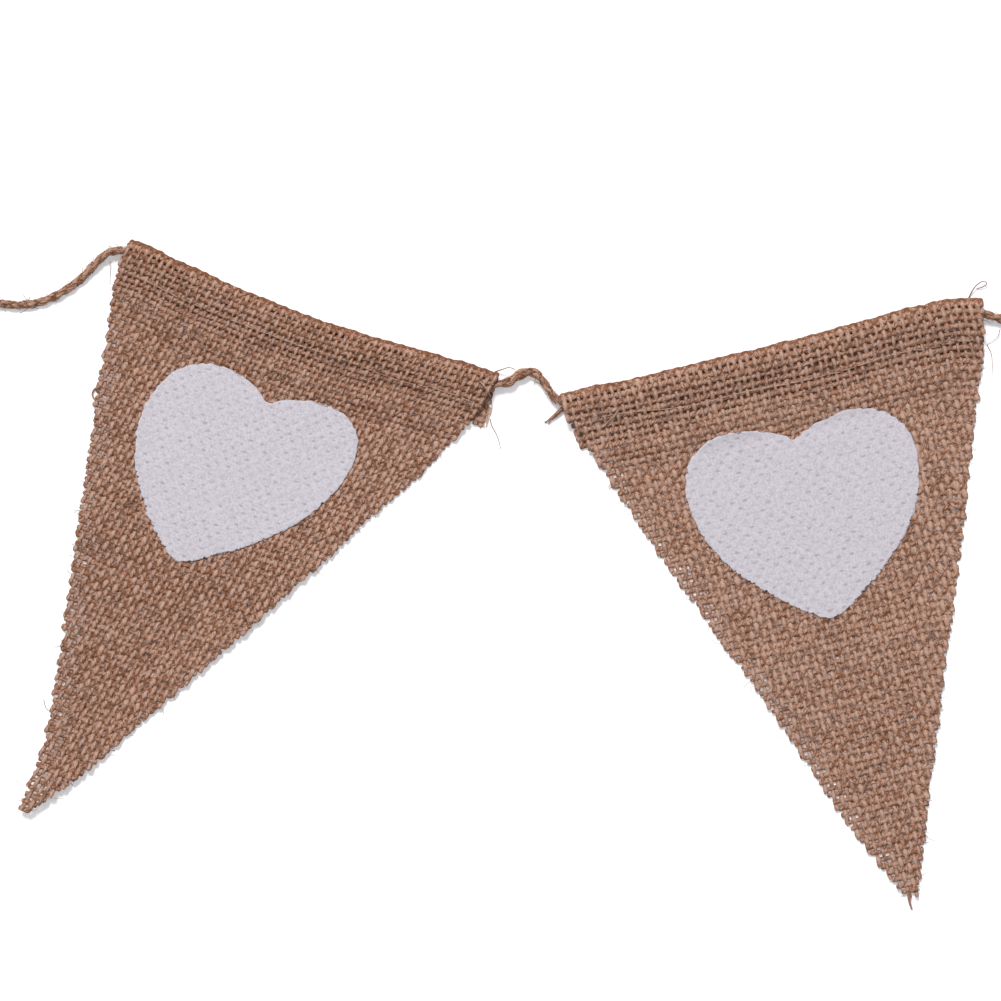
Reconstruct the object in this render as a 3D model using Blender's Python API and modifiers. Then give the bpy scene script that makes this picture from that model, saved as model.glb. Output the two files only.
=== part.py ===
"""Fabric bunting: two triangular hessian pennants threaded on a jute twine and laid flat.

Each pennant is one cut of cloth, a triangle with a straight strip along its top. The strip is folded to the
back over the twine and stitched down there, so the cloth is double along the top, and the strip's square
corners peek out past the sloping sides.

Units are metres. The cloth lies on the plane Z = 0, the row of pennants runs along +X, the points of the
pennants are towards -Y, and the origin is within 1 mm of the middle of the two pennants' box, at its bottom.
"""

import math
from collections import namedtuple

import bmesh
import bpy
import numpy as np
from mathutils import Vector

# ---------------------------------------------------------------- driving dimensions

CLOTH_THICKNESS = 0.0012  # hessian, two crossing yarns thick
TWINE_DIAMETER = 0.0022
CLEARANCE = 0.0003  # between neighbouring surfaces
POINT_WIDTH = 0.0030  # a pennant's point is blunt, under two yarns wide

COLUMNS = 16  # quads across a pennant
STRIP_ROWS = 4  # quads down the folded strip
FOLD_ROWS = 8  # quads round the fold
RIDGE_ROWS = (0.0030, 0.0042, 0.0056, 0.0070, 0.0085, 0.0102)  # distances down the front, over the twine
STEP_ROWS = (0.0130, 0.0160, 0.0185, 0.0210, 0.0235, 0.0265, 0.0300)  # and off the strip's cut edge
PLAIN_ROW = 0.0118  # between the rows below those
TWINE_SPACING = 0.0052  # between the twine's points, under 2.5 diameters
TWINE_SIDES = 2  # bevel resolution, which gives 8 sides

# Heights of the cloth's middle surface, and of the twine's centre.
ON_SURFACE = CLOTH_THICKNESS / 2
ON_STRIP = ON_SURFACE + CLOTH_THICKNESS + CLEARANCE
TWINE_IN_CASING = CLOTH_THICKNESS + CLEARANCE + TWINE_DIAMETER / 2
OVER_TWINE = TWINE_IN_CASING + TWINE_DIAMETER / 2 + CLEARANCE + CLOTH_THICKNESS / 2
TWINE_ON_SURFACE = TWINE_DIAMETER / 2 + 0.0001

FOLD_DEPTH = 0.0020  # from the outermost line of the fold to where both layers run level
RIDGE_FLAT = 0.0010  # the front stays at its full height over the twine this far to each side
RIDGE_REACH = 0.0085  # and lies on the strip again this far from the twine, at the stitches
STEP_AFTER_STRIP = 0.0010  # past the strip's cut edge, before the front comes down
STEP_DOWN = 0.0090  # over which it comes down to the surface

# An edge's unevenness: how far it bulges outwards at a share of its length.
Bulge = namedtuple("Bulge", "share out")
# Where the twine lies in a casing: its distance down from the fold at a share of the casing's length.
Lie = namedtuple("Lie", "share down")
# A soft rise of the cloth off the surface: where its middle is, across and down, how wide, how high.
Rise = namedtuple("Rise", "across down reach_across reach_down height")

PENNANTS = {
    "pennant_left": {
        "left_corner": (-0.1163, 0.1020),
        "right_corner": (-0.0018, 0.0606),
        "point": (-0.1486, -0.0735),
        "strip_left": (-0.1211, 0.0877),
        "strip_right": (-0.0067, 0.0453),
        "top": [
            Bulge(0.07, 0.0),
            Bulge(0.14, -0.0010),
            Bulge(0.29, -0.0023),
            Bulge(0.45, -0.0031),
            Bulge(0.60, -0.0030),
            Bulge(0.71, -0.0021),
            Bulge(0.86, -0.0008),
            Bulge(0.94, -0.0002),
        ],
        "left": [
            Bulge(0.07, 0.0018),
            Bulge(0.14, 0.0013),
            Bulge(0.29, 0.0007),
            Bulge(0.50, -0.0013),
            Bulge(0.71, -0.0028),
            Bulge(0.86, -0.0037),
            Bulge(0.94, -0.0023),
        ],
        "right": [
            Bulge(0.07, 0.0038),
            Bulge(0.14, 0.0052),
            Bulge(0.29, 0.0051),
            Bulge(0.43, 0.0050),
            Bulge(0.64, 0.0042),
            Bulge(0.80, 0.0033),
            Bulge(0.90, 0.0026),
            Bulge(0.95, 0.0013),
        ],
        "lies": [Lie(0.0, 0.0026), Lie(0.15, 0.0024), Lie(0.5, 0.0023), Lie(1.0, 0.0024)],
        "rises": [
            Rise(0.5, 1.0, 2.0, 0.24, 0.0028),
            Rise(1.0, 0.55, 0.35, 0.40, 0.0014),
            Rise(0.0, 0.42, 0.25, 0.16, 0.0007),
        ],
        "colour": (0.30, 0.185, 0.135, 1.0),
    },
    "pennant_right": {
        "left_corner": (0.0191, 0.0547),
        "right_corner": (0.1479, 0.0838),
        "point": (0.1262, -0.1005),
        "strip_left": (0.0234, 0.0384),
        "strip_right": (0.1487, 0.0652),
        "top": [
            Bulge(0.10, -0.0001),
            Bulge(0.28, -0.0001),
            Bulge(0.43, 0.0002),
            Bulge(0.57, 0.0006),
            Bulge(0.71, 0.0014),
            Bulge(0.86, 0.0021),
            Bulge(0.94, 0.0018),
        ],
        "left": [
            Bulge(0.07, 0.0029),
            Bulge(0.14, 0.0033),
            Bulge(0.29, 0.0037),
            Bulge(0.43, 0.0032),
            Bulge(0.64, 0.0024),
            Bulge(0.85, 0.0023),
            Bulge(0.93, 0.0014),
        ],
        "right": [
            Bulge(0.07, 0.0011),
            Bulge(0.21, 0.0018),
            Bulge(0.43, 0.0016),
            Bulge(0.58, 0.0010),
            Bulge(0.72, 0.0004),
            Bulge(0.82, 0.0),
            Bulge(0.93, 0.0004),
        ],
        "lies": [Lie(0.0, 0.0026), Lie(0.25, 0.0024), Lie(0.5, 0.0026), Lie(0.75, 0.0036), Lie(1.0, 0.0038)],
        "rises": [
            Rise(0.5, 1.0, 2.0, 0.14, 0.0008),
            Rise(1.0, 0.70, 0.25, 0.25, 0.0009),
            Rise(0.0, 0.62, 0.25, 0.20, 0.0006),
        ],
        "colour": (0.31, 0.185, 0.13, 1.0),
    },
}

# The twine's own route, across the surface and above it, from the left end to the right end. Between the
# stretches named here it runs inside the casings.
LEFT_TAIL = [
    (-0.1670, 0.0850, TWINE_ON_SURFACE),
    (-0.1610, 0.0840, TWINE_ON_SURFACE),
    (-0.1558, 0.0833, TWINE_ON_SURFACE),
    (-0.1518, 0.0829, TWINE_ON_SURFACE),
    (-0.1474, 0.0831, TWINE_ON_SURFACE),
    (-0.1434, 0.0839, TWINE_ON_SURFACE),
    (-0.1391, 0.0856, TWINE_ON_SURFACE),
    (-0.1350, 0.0880, TWINE_ON_SURFACE),
    (-0.1310, 0.0911, TWINE_ON_SURFACE),
    (-0.1282, 0.0939, TWINE_ON_SURFACE + 0.0003),
    (-0.1256, 0.0965, TWINE_ON_SURFACE + 0.0007),
    (-0.1231, 0.0984, TWINE_ON_SURFACE + 0.0011),
    (-0.1204, 0.0994, TWINE_ON_SURFACE + 0.0013),
]
BRIDGE = [
    (0.0014, 0.0590, 0.0024),
    (0.0043, 0.0610, 0.0021),
    (0.0073, 0.0621, 0.0019),
    (0.0099, 0.0615, 0.0019),
    (0.0119, 0.0592, 0.0019),
    (0.0138, 0.0562, 0.0021),
    (0.0160, 0.0536, 0.0024),
]
RIGHT_TAIL = [
    (0.1524, 0.0789, 0.0022),
    (0.1568, 0.0779, 0.0015),
    (0.1610, 0.0771, TWINE_ON_SURFACE),
    (0.1680, 0.0765, TWINE_ON_SURFACE),
]
CASING_SHARES = (0.0, 0.05, 0.12, 0.24, 0.36, 0.48, 0.60, 0.72, 0.84, 0.93, 1.0)

TWINE_COLOUR = (0.28, 0.18, 0.12, 1.0)


# ---------------------------------------------------------------- materials and collection


def make_material(name, colour, roughness):
    """A plain Principled material."""
    material = bpy.data.materials.new(name)
    material.use_nodes = True
    shader = material.node_tree.nodes["Principled BSDF"]
    shader.inputs["Base Color"].default_value = colour
    shader.inputs["Roughness"].default_value = roughness
    shader.inputs["Metallic"].default_value = 0.0
    material.diffuse_color = colour
    return material


def clear_scene():
    for item in list(bpy.data.objects):
        bpy.data.objects.remove(item, do_unlink=True)


def make_collection(name):
    collection = bpy.data.collections.new(name)
    bpy.context.scene.collection.children.link(collection)
    return collection


# ---------------------------------------------------------------- curves through named points


def smooth_through(knots, values, at):
    """Values of the smooth curve that passes through the given ones at their knots."""
    knots, values = np.asarray(knots, float), np.asarray(values, float)
    slopes = np.gradient(values, knots, axis=0)
    first = np.clip(np.searchsorted(knots, at, side="right") - 1, 0, len(knots) - 2)
    width = knots[first + 1] - knots[first]
    t = (at - knots[first]) / width
    return (
        values[first] * (1 + 2 * t) * (1 - t) ** 2
        + slopes[first] * width * t * (1 - t) ** 2
        + values[first + 1] * t * t * (3 - 2 * t)
        + slopes[first + 1] * width * t * t * (t - 1)
    )


def curve_through(points, count):
    """count points spaced evenly along a smooth curve through the given ones."""
    given = np.array(points, float)
    knots = np.concatenate([[0.0], np.cumsum(np.linalg.norm(np.diff(given, axis=0), axis=1))])
    at = np.linspace(0.0, knots[-1], 20 * count)
    fine = np.array([smooth_through(knots, given, place) for place in at])
    along = np.concatenate([[0.0], np.cumsum(np.linalg.norm(np.diff(fine, axis=0), axis=1))])
    even = np.linspace(0.0, along[-1], count)
    return np.stack([np.interp(even, along, fine[:, axis]) for axis in range(3)], axis=1)


def bulge_at(stations, share):
    """How far an edge stands out at a share of its length. It is zero at both of its ends."""
    known = [Bulge(0.0, 0.0), *stations, Bulge(1.0, 0.0)]
    share = min(max(share, 0.0), 1.0)
    return float(smooth_through([k.share for k in known], [k.out for k in known], share))


def twine_down_at(cut, share):
    """The twine's distance down from the fold at a share of the casing's length."""
    lies = cut["lies"]
    return float(smooth_through([lie.share for lie in lies], [lie.down for lie in lies], share))


def smooth_step(share):
    share = min(max(share, 0.0), 1.0)
    return share * share * (3.0 - 2.0 * share)


# ---------------------------------------------------------------- a pennant's middle surface


def edge_point(start, end, stations, share, side):
    """A point on an uneven edge. side is 1 where outwards is to the left of its direction, else -1."""
    start, end = Vector(start), Vector(end)
    along = end - start
    outwards = Vector((-along.y, along.x)).normalized() * side
    return start + along * share + outwards * bulge_at(stations, share)


def fold_point(cut, across):
    """A point on the outermost line of the fold."""
    return edge_point(cut["left_corner"], cut["right_corner"], cut["top"], across, 1)


def strip_fall(cut, across):
    """From the fold to the strip's cut edge."""
    straight = Vector(cut["left_corner"]).lerp(Vector(cut["right_corner"]), across)
    return Vector(cut["strip_left"]).lerp(Vector(cut["strip_right"]), across) - straight


def strip_place(cut, across, down):
    """Place on the surface of a point of the folded strip, from its share across and its distance down."""
    return fold_point(cut, across) + strip_fall(cut, across).normalized() * down


def front_length(cut):
    """From the middle of the top edge to the point."""
    middle = (Vector(cut["left_corner"]) + Vector(cut["right_corner"])) / 2
    return (Vector(cut["point"]) - middle).length


def front_place(cut, across, down):
    """Place on the surface of a point of the front, from its share across and its distance down."""
    share = min(down / front_length(cut), 1.0)
    left_corner, right_corner = Vector(cut["left_corner"]), Vector(cut["right_corner"])
    half_point = (right_corner - left_corner).normalized() * POINT_WIDTH / 2
    left = edge_point(left_corner, Vector(cut["point"]) - half_point, cut["left"], share, -1)
    right = edge_point(right_corner, Vector(cut["point"]) + half_point, cut["right"], share, 1)
    sag = fold_point(cut, across) - left_corner.lerp(right_corner, across)
    return left.lerp(right, across) + sag * (1.0 - share)


def front_height(cut, across, down):
    """Height of the front's middle: over the twine, on the folded strip, then on the surface."""
    past_strip = down - strip_fall(cut, across).length - STEP_AFTER_STRIP
    from_twine = abs(down - twine_down_at(cut, across))
    layer = ON_STRIP - (ON_STRIP - ON_SURFACE) * smooth_step(past_strip / STEP_DOWN)
    ridge = (OVER_TWINE - ON_STRIP) * smooth_step((RIDGE_REACH - from_twine) / (RIDGE_REACH - RIDGE_FLAT))
    return layer + ridge


def rise_at(cut, across, share):
    """How far the cloth is off the surface, beyond its own layers."""
    total = 0.0
    for rise in cut["rises"]:
        aside = abs(across - rise.across) / rise.reach_across
        below = abs(share - rise.down) / rise.reach_down
        total += rise.height * smooth_step(1.0 - aside) * smooth_step(1.0 - below)
    return total


def section_rows(cut):
    """The rows of the grid, from the strip's cut edge round the fold and down to the point.

    A row is (layer, measure): the share of the strip's depth, the angle round the fold from underneath, or
    the distance down the front.
    """
    rows = [("strip", 1.0 - step / STRIP_ROWS) for step in range(STRIP_ROWS)]
    rows += [("fold", math.pi * step / FOLD_ROWS) for step in range(FOLD_ROWS + 1)]
    rows += [("front", down) for down in RIDGE_ROWS + STEP_ROWS]
    plain = front_length(cut) - STEP_ROWS[-1]
    count = round(plain / PLAIN_ROW)
    rows += [("front", STEP_ROWS[-1] + plain * step / count) for step in range(1, count + 1)]
    return rows


def surface_point(cut, across, row):
    """Where a point of the cloth's middle surface lies, from its share across and its row."""
    layer, measure = row
    if layer == "strip":
        down = FOLD_DEPTH + (strip_fall(cut, across).length - FOLD_DEPTH) * measure
        place = strip_place(cut, across, down)
        return Vector((place.x, place.y, ON_SURFACE))
    if layer == "fold":
        down = FOLD_DEPTH * (1.0 - math.sin(measure))
        half_height = (front_height(cut, across, FOLD_DEPTH) - ON_SURFACE) / 2
        place = strip_place(cut, across, down).lerp(front_place(cut, across, down), measure / math.pi)
        return Vector((place.x, place.y, ON_SURFACE + half_height * (1.0 - math.cos(measure))))
    place = front_place(cut, across, measure)
    lifted = rise_at(cut, across, measure / front_length(cut))
    return Vector((place.x, place.y, front_height(cut, across, measure) + lifted))


def make_pennant(name, cut, collection):
    """One cut of cloth: a grid laid along its folded section, then given its thickness."""
    rows = section_rows(cut)
    mesh = bpy.data.meshes.new(name)
    sheet = bmesh.new()
    bmesh.ops.create_grid(sheet, x_segments=COLUMNS, y_segments=len(rows) - 1, size=0.5)
    for vertex in sheet.verts:
        across = vertex.co.x + 0.5
        row = rows[round((vertex.co.y + 0.5) * (len(rows) - 1))]
        vertex.co = surface_point(cut, across, row)
    bmesh.ops.recalc_face_normals(sheet, faces=sheet.faces)
    sheet.to_mesh(mesh)
    sheet.free()
    mesh.shade_smooth()
    mesh.materials.append(make_material(name + "_hessian", cut["colour"], 0.95))
    pennant = bpy.data.objects.new(name, mesh)
    collection.objects.link(pennant)
    cloth = pennant.modifiers.new("cloth_thickness", "SOLIDIFY")
    cloth.thickness = CLOTH_THICKNESS
    cloth.offset = 0.0
    cloth.use_even_offset = True


# ---------------------------------------------------------------- the twine


def casing_points(cut):
    """The twine's points inside a casing."""
    points = []
    for share in CASING_SHARES:
        place = strip_place(cut, share, twine_down_at(cut, share))
        points.append((place.x, place.y, TWINE_IN_CASING))
    return points


def make_twine(collection):
    """One tube through both casings."""
    left, right = PENNANTS["pennant_left"], PENNANTS["pennant_right"]
    route = np.array(LEFT_TAIL + casing_points(left) + BRIDGE + casing_points(right) + RIGHT_TAIL)
    length = np.linalg.norm(np.diff(route, axis=0), axis=1).sum()
    points = curve_through(route, round(length / TWINE_SPACING) + 1)
    curve = bpy.data.curves.new("twine", "CURVE")
    curve.dimensions = "3D"
    curve.bevel_depth = TWINE_DIAMETER / 2
    curve.bevel_resolution = TWINE_SIDES
    curve.use_fill_caps = True
    spline = curve.splines.new("POLY")
    spline.points.add(len(points) - 1)
    for point, place in zip(spline.points, points):
        point.co = (*place, 1.0)
    curve.materials.append(make_material("twine_jute", TWINE_COLOUR, 0.9))
    collection.objects.link(bpy.data.objects.new("twine", curve))


def main():
    clear_scene()
    collection = make_collection("fabric_bunting")
    for name, cut in PENNANTS.items():
        make_pennant(name, cut, collection)
    make_twine(collection)


main()
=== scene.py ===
# %% [markdown]
# # Hessian bunting on jute twine
#
# This lesson gives the look of real hessian bunting to a row of two pennants. Their size and lie come from
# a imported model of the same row: two thin folded cloths and one tube for the twine. Here each cloth becomes
# woven yarns, each heart a film of fabric paint, and the tube two twisted plies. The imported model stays
# where it is, and every new piece is laid where its solid lies.

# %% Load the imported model
import math
from collections import namedtuple

import bmesh
import bpy
import numpy as np
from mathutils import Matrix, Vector
from mathutils.kdtree import KDTree


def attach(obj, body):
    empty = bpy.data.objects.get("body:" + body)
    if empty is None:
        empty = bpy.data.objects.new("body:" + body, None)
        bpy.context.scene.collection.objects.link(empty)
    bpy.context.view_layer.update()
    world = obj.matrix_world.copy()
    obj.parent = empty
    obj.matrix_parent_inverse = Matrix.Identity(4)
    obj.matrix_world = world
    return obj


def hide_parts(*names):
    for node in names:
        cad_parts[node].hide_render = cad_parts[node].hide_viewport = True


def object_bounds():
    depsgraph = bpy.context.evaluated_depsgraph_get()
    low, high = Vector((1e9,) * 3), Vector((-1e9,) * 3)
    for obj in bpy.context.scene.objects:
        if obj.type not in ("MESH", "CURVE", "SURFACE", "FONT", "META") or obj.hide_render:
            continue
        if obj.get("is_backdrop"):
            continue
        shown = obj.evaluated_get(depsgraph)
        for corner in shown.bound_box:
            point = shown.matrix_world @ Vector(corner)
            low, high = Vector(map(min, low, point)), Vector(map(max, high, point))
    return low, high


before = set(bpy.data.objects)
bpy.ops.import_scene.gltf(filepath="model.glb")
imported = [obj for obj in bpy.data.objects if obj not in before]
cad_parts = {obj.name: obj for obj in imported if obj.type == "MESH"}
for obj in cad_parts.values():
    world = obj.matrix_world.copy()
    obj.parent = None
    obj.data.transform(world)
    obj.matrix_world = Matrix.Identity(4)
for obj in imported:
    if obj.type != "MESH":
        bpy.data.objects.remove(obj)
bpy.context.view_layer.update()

MM = 0.001
print("the packed nodes are", sorted(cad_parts))

# %% [markdown]
# ## Camera
#
# The row lies flat and is looked at from straight above. A camera close to the cloth would lean its tall
# parts outwards, so it is 0.8 m away, and the lens is worked out from the width of table that it should
# take in.

# %% Camera
VIEW_CENTRE = (-1.24 * MM, 22.32 * MM)
VIEW_WIDTH = 310.3 * MM
CAMERA_HEIGHT = 0.80
SENSOR_WIDTH = 36.0

camera_data = bpy.data.cameras.new("camera")
camera_data.sensor_width = SENSOR_WIDTH
camera_data.lens = SENSOR_WIDTH * CAMERA_HEIGHT / VIEW_WIDTH
camera = bpy.data.objects.new("camera", camera_data)
camera.location = (*VIEW_CENTRE, CAMERA_HEIGHT)
bpy.context.scene.collection.objects.link(camera)
bpy.context.scene.camera = camera
print(f"the lens is {camera_data.lens:.1f} mm")

# %% [markdown]
# ## How the pennants were cut and folded
#
# A pennant is one triangle of hessian with a straight strip along its top. The strip is folded to the back
# over the twine and stitched down, which makes the casing that the twine runs through. These sizes are the
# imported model's own, so the yarns lie on its folds. Only the ridge over the twine reaches further here,
# because woven cloth comes down off a cord more gently than the plain solid does.

# %% Sizes of the cloth and its folds
CLOTH_THICKNESS = 1.2 * MM
TWINE_DIAMETER = 2.2 * MM
CLEARANCE = 0.3 * MM
POINT_WIDTH = 3.0 * MM
FOLD_DEPTH = 2.0 * MM
RIDGE_FLAT = 1.0 * MM
RIDGE_REACH = 13.0 * MM
STEP_AFTER_STRIP = 1.0 * MM
STEP_DOWN = 9.0 * MM
ON_SURFACE = CLOTH_THICKNESS / 2
ON_STRIP = ON_SURFACE + CLOTH_THICKNESS + CLEARANCE
TWINE_IN_CASING = CLOTH_THICKNESS + CLEARANCE + TWINE_DIAMETER / 2
OVER_TWINE = TWINE_IN_CASING + TWINE_DIAMETER / 2 + CLEARANCE + CLOTH_THICKNESS / 2
TWINE_LIFT = 0.1 * MM
TWINE_ON_SURFACE = TWINE_DIAMETER / 2 + TWINE_LIFT
print(f"over the twine the middle of the cloth is {OVER_TWINE / MM:.1f} mm above the table")

# %% [markdown]
# ## The two cuts
#
# No two pennants come out quite alike, so each has a table of its own: its corners, how far each edge
# bulges outwards on its way, where the twine lies in the casing, where the cloth stands a little off the
# table, and how far apart its yarns are. The weft yarns lie further apart towards the point, so they have a
# first and a last pitch.

# %% The two cuts
# A soft rise of the front: its middle as shares across and down, how far it reaches, and how high it is.
Rise = namedtuple("Rise", "across down reach_across reach_down height")
Cut = namedtuple(
    "Cut",
    "left_corner right_corner point strip_left strip_right top left right lies rises warp_pitch weft_pitches",
)

# Corners are in metres. The edges top, left and right, and lies, are (share along, distance in metres).
CUTS = {
    "pennant_left": Cut(
        left_corner=(-0.1163, 0.1020),
        right_corner=(-0.0018, 0.0606),
        point=(-0.1486, -0.0735),
        strip_left=(-0.1211, 0.0877),
        strip_right=(-0.0067, 0.0453),
        top=[(0.07, 0), (0.14, -0.0010), (0.29, -0.0023), (0.45, -0.0031), (0.60, -0.0030), (0.71, -0.0021),
             (0.86, -0.0008), (0.94, -0.0002)],
        left=[(0.07, 0.0018), (0.14, 0.0013), (0.29, 0.0007), (0.50, -0.0013), (0.71, -0.0028),
              (0.86, -0.0037), (0.94, -0.0023)],
        right=[(0.07, 0.0038), (0.14, 0.0052), (0.29, 0.0051), (0.43, 0.0050), (0.64, 0.0042), (0.80, 0.0033),
               (0.90, 0.0026), (0.95, 0.0013)],
        lies=[(0, 0.0026), (0.15, 0.0024), (0.5, 0.0023), (1, 0.0024)],
        rises=[Rise(0.5, 1.0, 2.0, 0.24, 0.0028), Rise(1.0, 0.55, 0.35, 0.40, 0.0014),
               Rise(0.0, 0.42, 0.25, 0.16, 0.0007)],
        warp_pitch=1.90 * MM,
        weft_pitches=(1.95 * MM, 2.40 * MM),
    ),
    "pennant_right": Cut(
        left_corner=(0.0191, 0.0547),
        right_corner=(0.1479, 0.0838),
        point=(0.1262, -0.1005),
        strip_left=(0.0234, 0.0384),
        strip_right=(0.1487, 0.0652),
        top=[(0.10, -0.0001), (0.28, -0.0001), (0.43, 0.0002), (0.57, 0.0006), (0.71, 0.0014), (0.86, 0.0021),
             (0.94, 0.0018)],
        left=[(0.07, 0.0029), (0.14, 0.0033), (0.29, 0.0037), (0.43, 0.0032), (0.64, 0.0024), (0.85, 0.0023),
              (0.93, 0.0014)],
        right=[(0.07, 0.0011), (0.21, 0.0018), (0.43, 0.0016), (0.58, 0.0010), (0.72, 0.0004), (0.82, 0),
               (0.93, 0.0004)],
        lies=[(0, 0.0026), (0.25, 0.0024), (0.5, 0.0026), (0.75, 0.0036), (1, 0.0038)],
        rises=[Rise(0.5, 1.0, 2.0, 0.14, 0.0008), Rise(1.0, 0.70, 0.25, 0.25, 0.0009),
               Rise(0.0, 0.62, 0.25, 0.20, 0.0006)],
        warp_pitch=2.14 * MM,
        weft_pitches=(2.12 * MM, 2.30 * MM),
    ),
}
print("the cuts are", ", ".join(CUTS))

# %% [markdown]
# ## A smooth curve through a few values
#
# Every edge, route and random drift below is a smooth curve through a few chosen values. The helper gives
# the curve's value anywhere: between two knots it is the cubic that passes through both with the slopes of
# their neighbours. A second helper eases from 0 to 1, for steps and ridges in the cloth.

# %% Smooth curves
FINE_STEPS = 20


def smooth_through(knots, values, at):
    """The smooth curve's values at the given places. A value is a number or a point."""
    knots, values, at = (np.asarray(item, float) for item in (knots, values, at))
    slopes = np.gradient(values, knots, axis=0)
    first = np.clip(np.searchsorted(knots, at, side="right") - 1, 0, len(knots) - 2)
    width = knots[first + 1] - knots[first]
    t = (at - knots[first]) / width
    if values.ndim > 1:
        width, t = width[..., None], t[..., None]
    return (
        values[first] * (1 + 2 * t) * (1 - t) ** 2
        + slopes[first] * width * t * (1 - t) ** 2
        + values[first + 1] * t * t * (3 - 2 * t)
        + slopes[first + 1] * width * t * t * (t - 1)
    )


def smooth_step(share):
    """Eases from 0 to 1 while share goes from 0 to 1."""
    share = np.clip(share, 0.0, 1.0)
    return share * share * (3.0 - 2.0 * share)


def curve_through(points, count):
    """count points spaced evenly along a smooth curve through the given ones."""
    given = np.array(points, float)
    knots = np.concatenate([[0.0], np.cumsum(np.linalg.norm(np.diff(given, axis=0), axis=1))])
    fine = smooth_through(knots, given, np.linspace(0.0, knots[-1], FINE_STEPS * count))
    along = np.concatenate([[0.0], np.cumsum(np.linalg.norm(np.diff(fine, axis=0), axis=1))])
    even = np.linspace(0.0, along[-1], count)
    return np.stack([np.interp(even, along, values) for values in fine.T], axis=1)


def unit(vector):
    return vector / np.linalg.norm(vector, axis=-1, keepdims=True)


print("halfway up a smooth step:", smooth_step(0.5))

# %% [markdown]
# ## The cloth's own coordinates
#
# Cloth is easiest to think of along its threads. `s` runs along the weft from the middle of the top edge,
# and `m` along the warp. `m` is 0 where the fold comes down on the front, grows towards the point, and is
# negative round the fold and on the strip at the back. One function turns (s, m) into a place on the middle
# of the cloth, and everything that lies on the cloth is made with it: yarns, paint and stitches.

# %% Uneven edges
def bulged(stations, share):
    """How far an edge stands out at shares of its length. It is zero at both ends."""
    known = [(0.0, 0.0), *stations, (1.0, 0.0)]
    return smooth_through([k[0] for k in known], [k[1] for k in known], np.clip(share, 0.0, 1.0))


def edge_points(start, end, stations, share, side):
    """Points on an uneven edge. side is 1 where outwards is to the left of its direction, else -1."""
    along = end - start
    outwards = unit(np.array([-along[1], along[0]])) * side
    share = np.asarray(share, float)[..., None]
    return start + along * share + outwards * bulged(stations, share[..., 0])[..., None]


left_sag = -bulged(CUTS["pennant_left"].top, 0.5)
print(f"the middle of the left pennant's top edge sags by {left_sag / MM:.1f} mm")

# %% From cloth coordinates to places
EDGE_SAMPLES = 240
FOLD_RADIUS = (OVER_TWINE - ON_SURFACE) / 2
FOLD_LENGTH = math.pi * FOLD_RADIUS
NARROWEST = 0.1 * MM
PAST_SIDE = 0.03
NORMAL_STEP = 0.05 * MM
STEPS_BACK = 6


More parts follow.
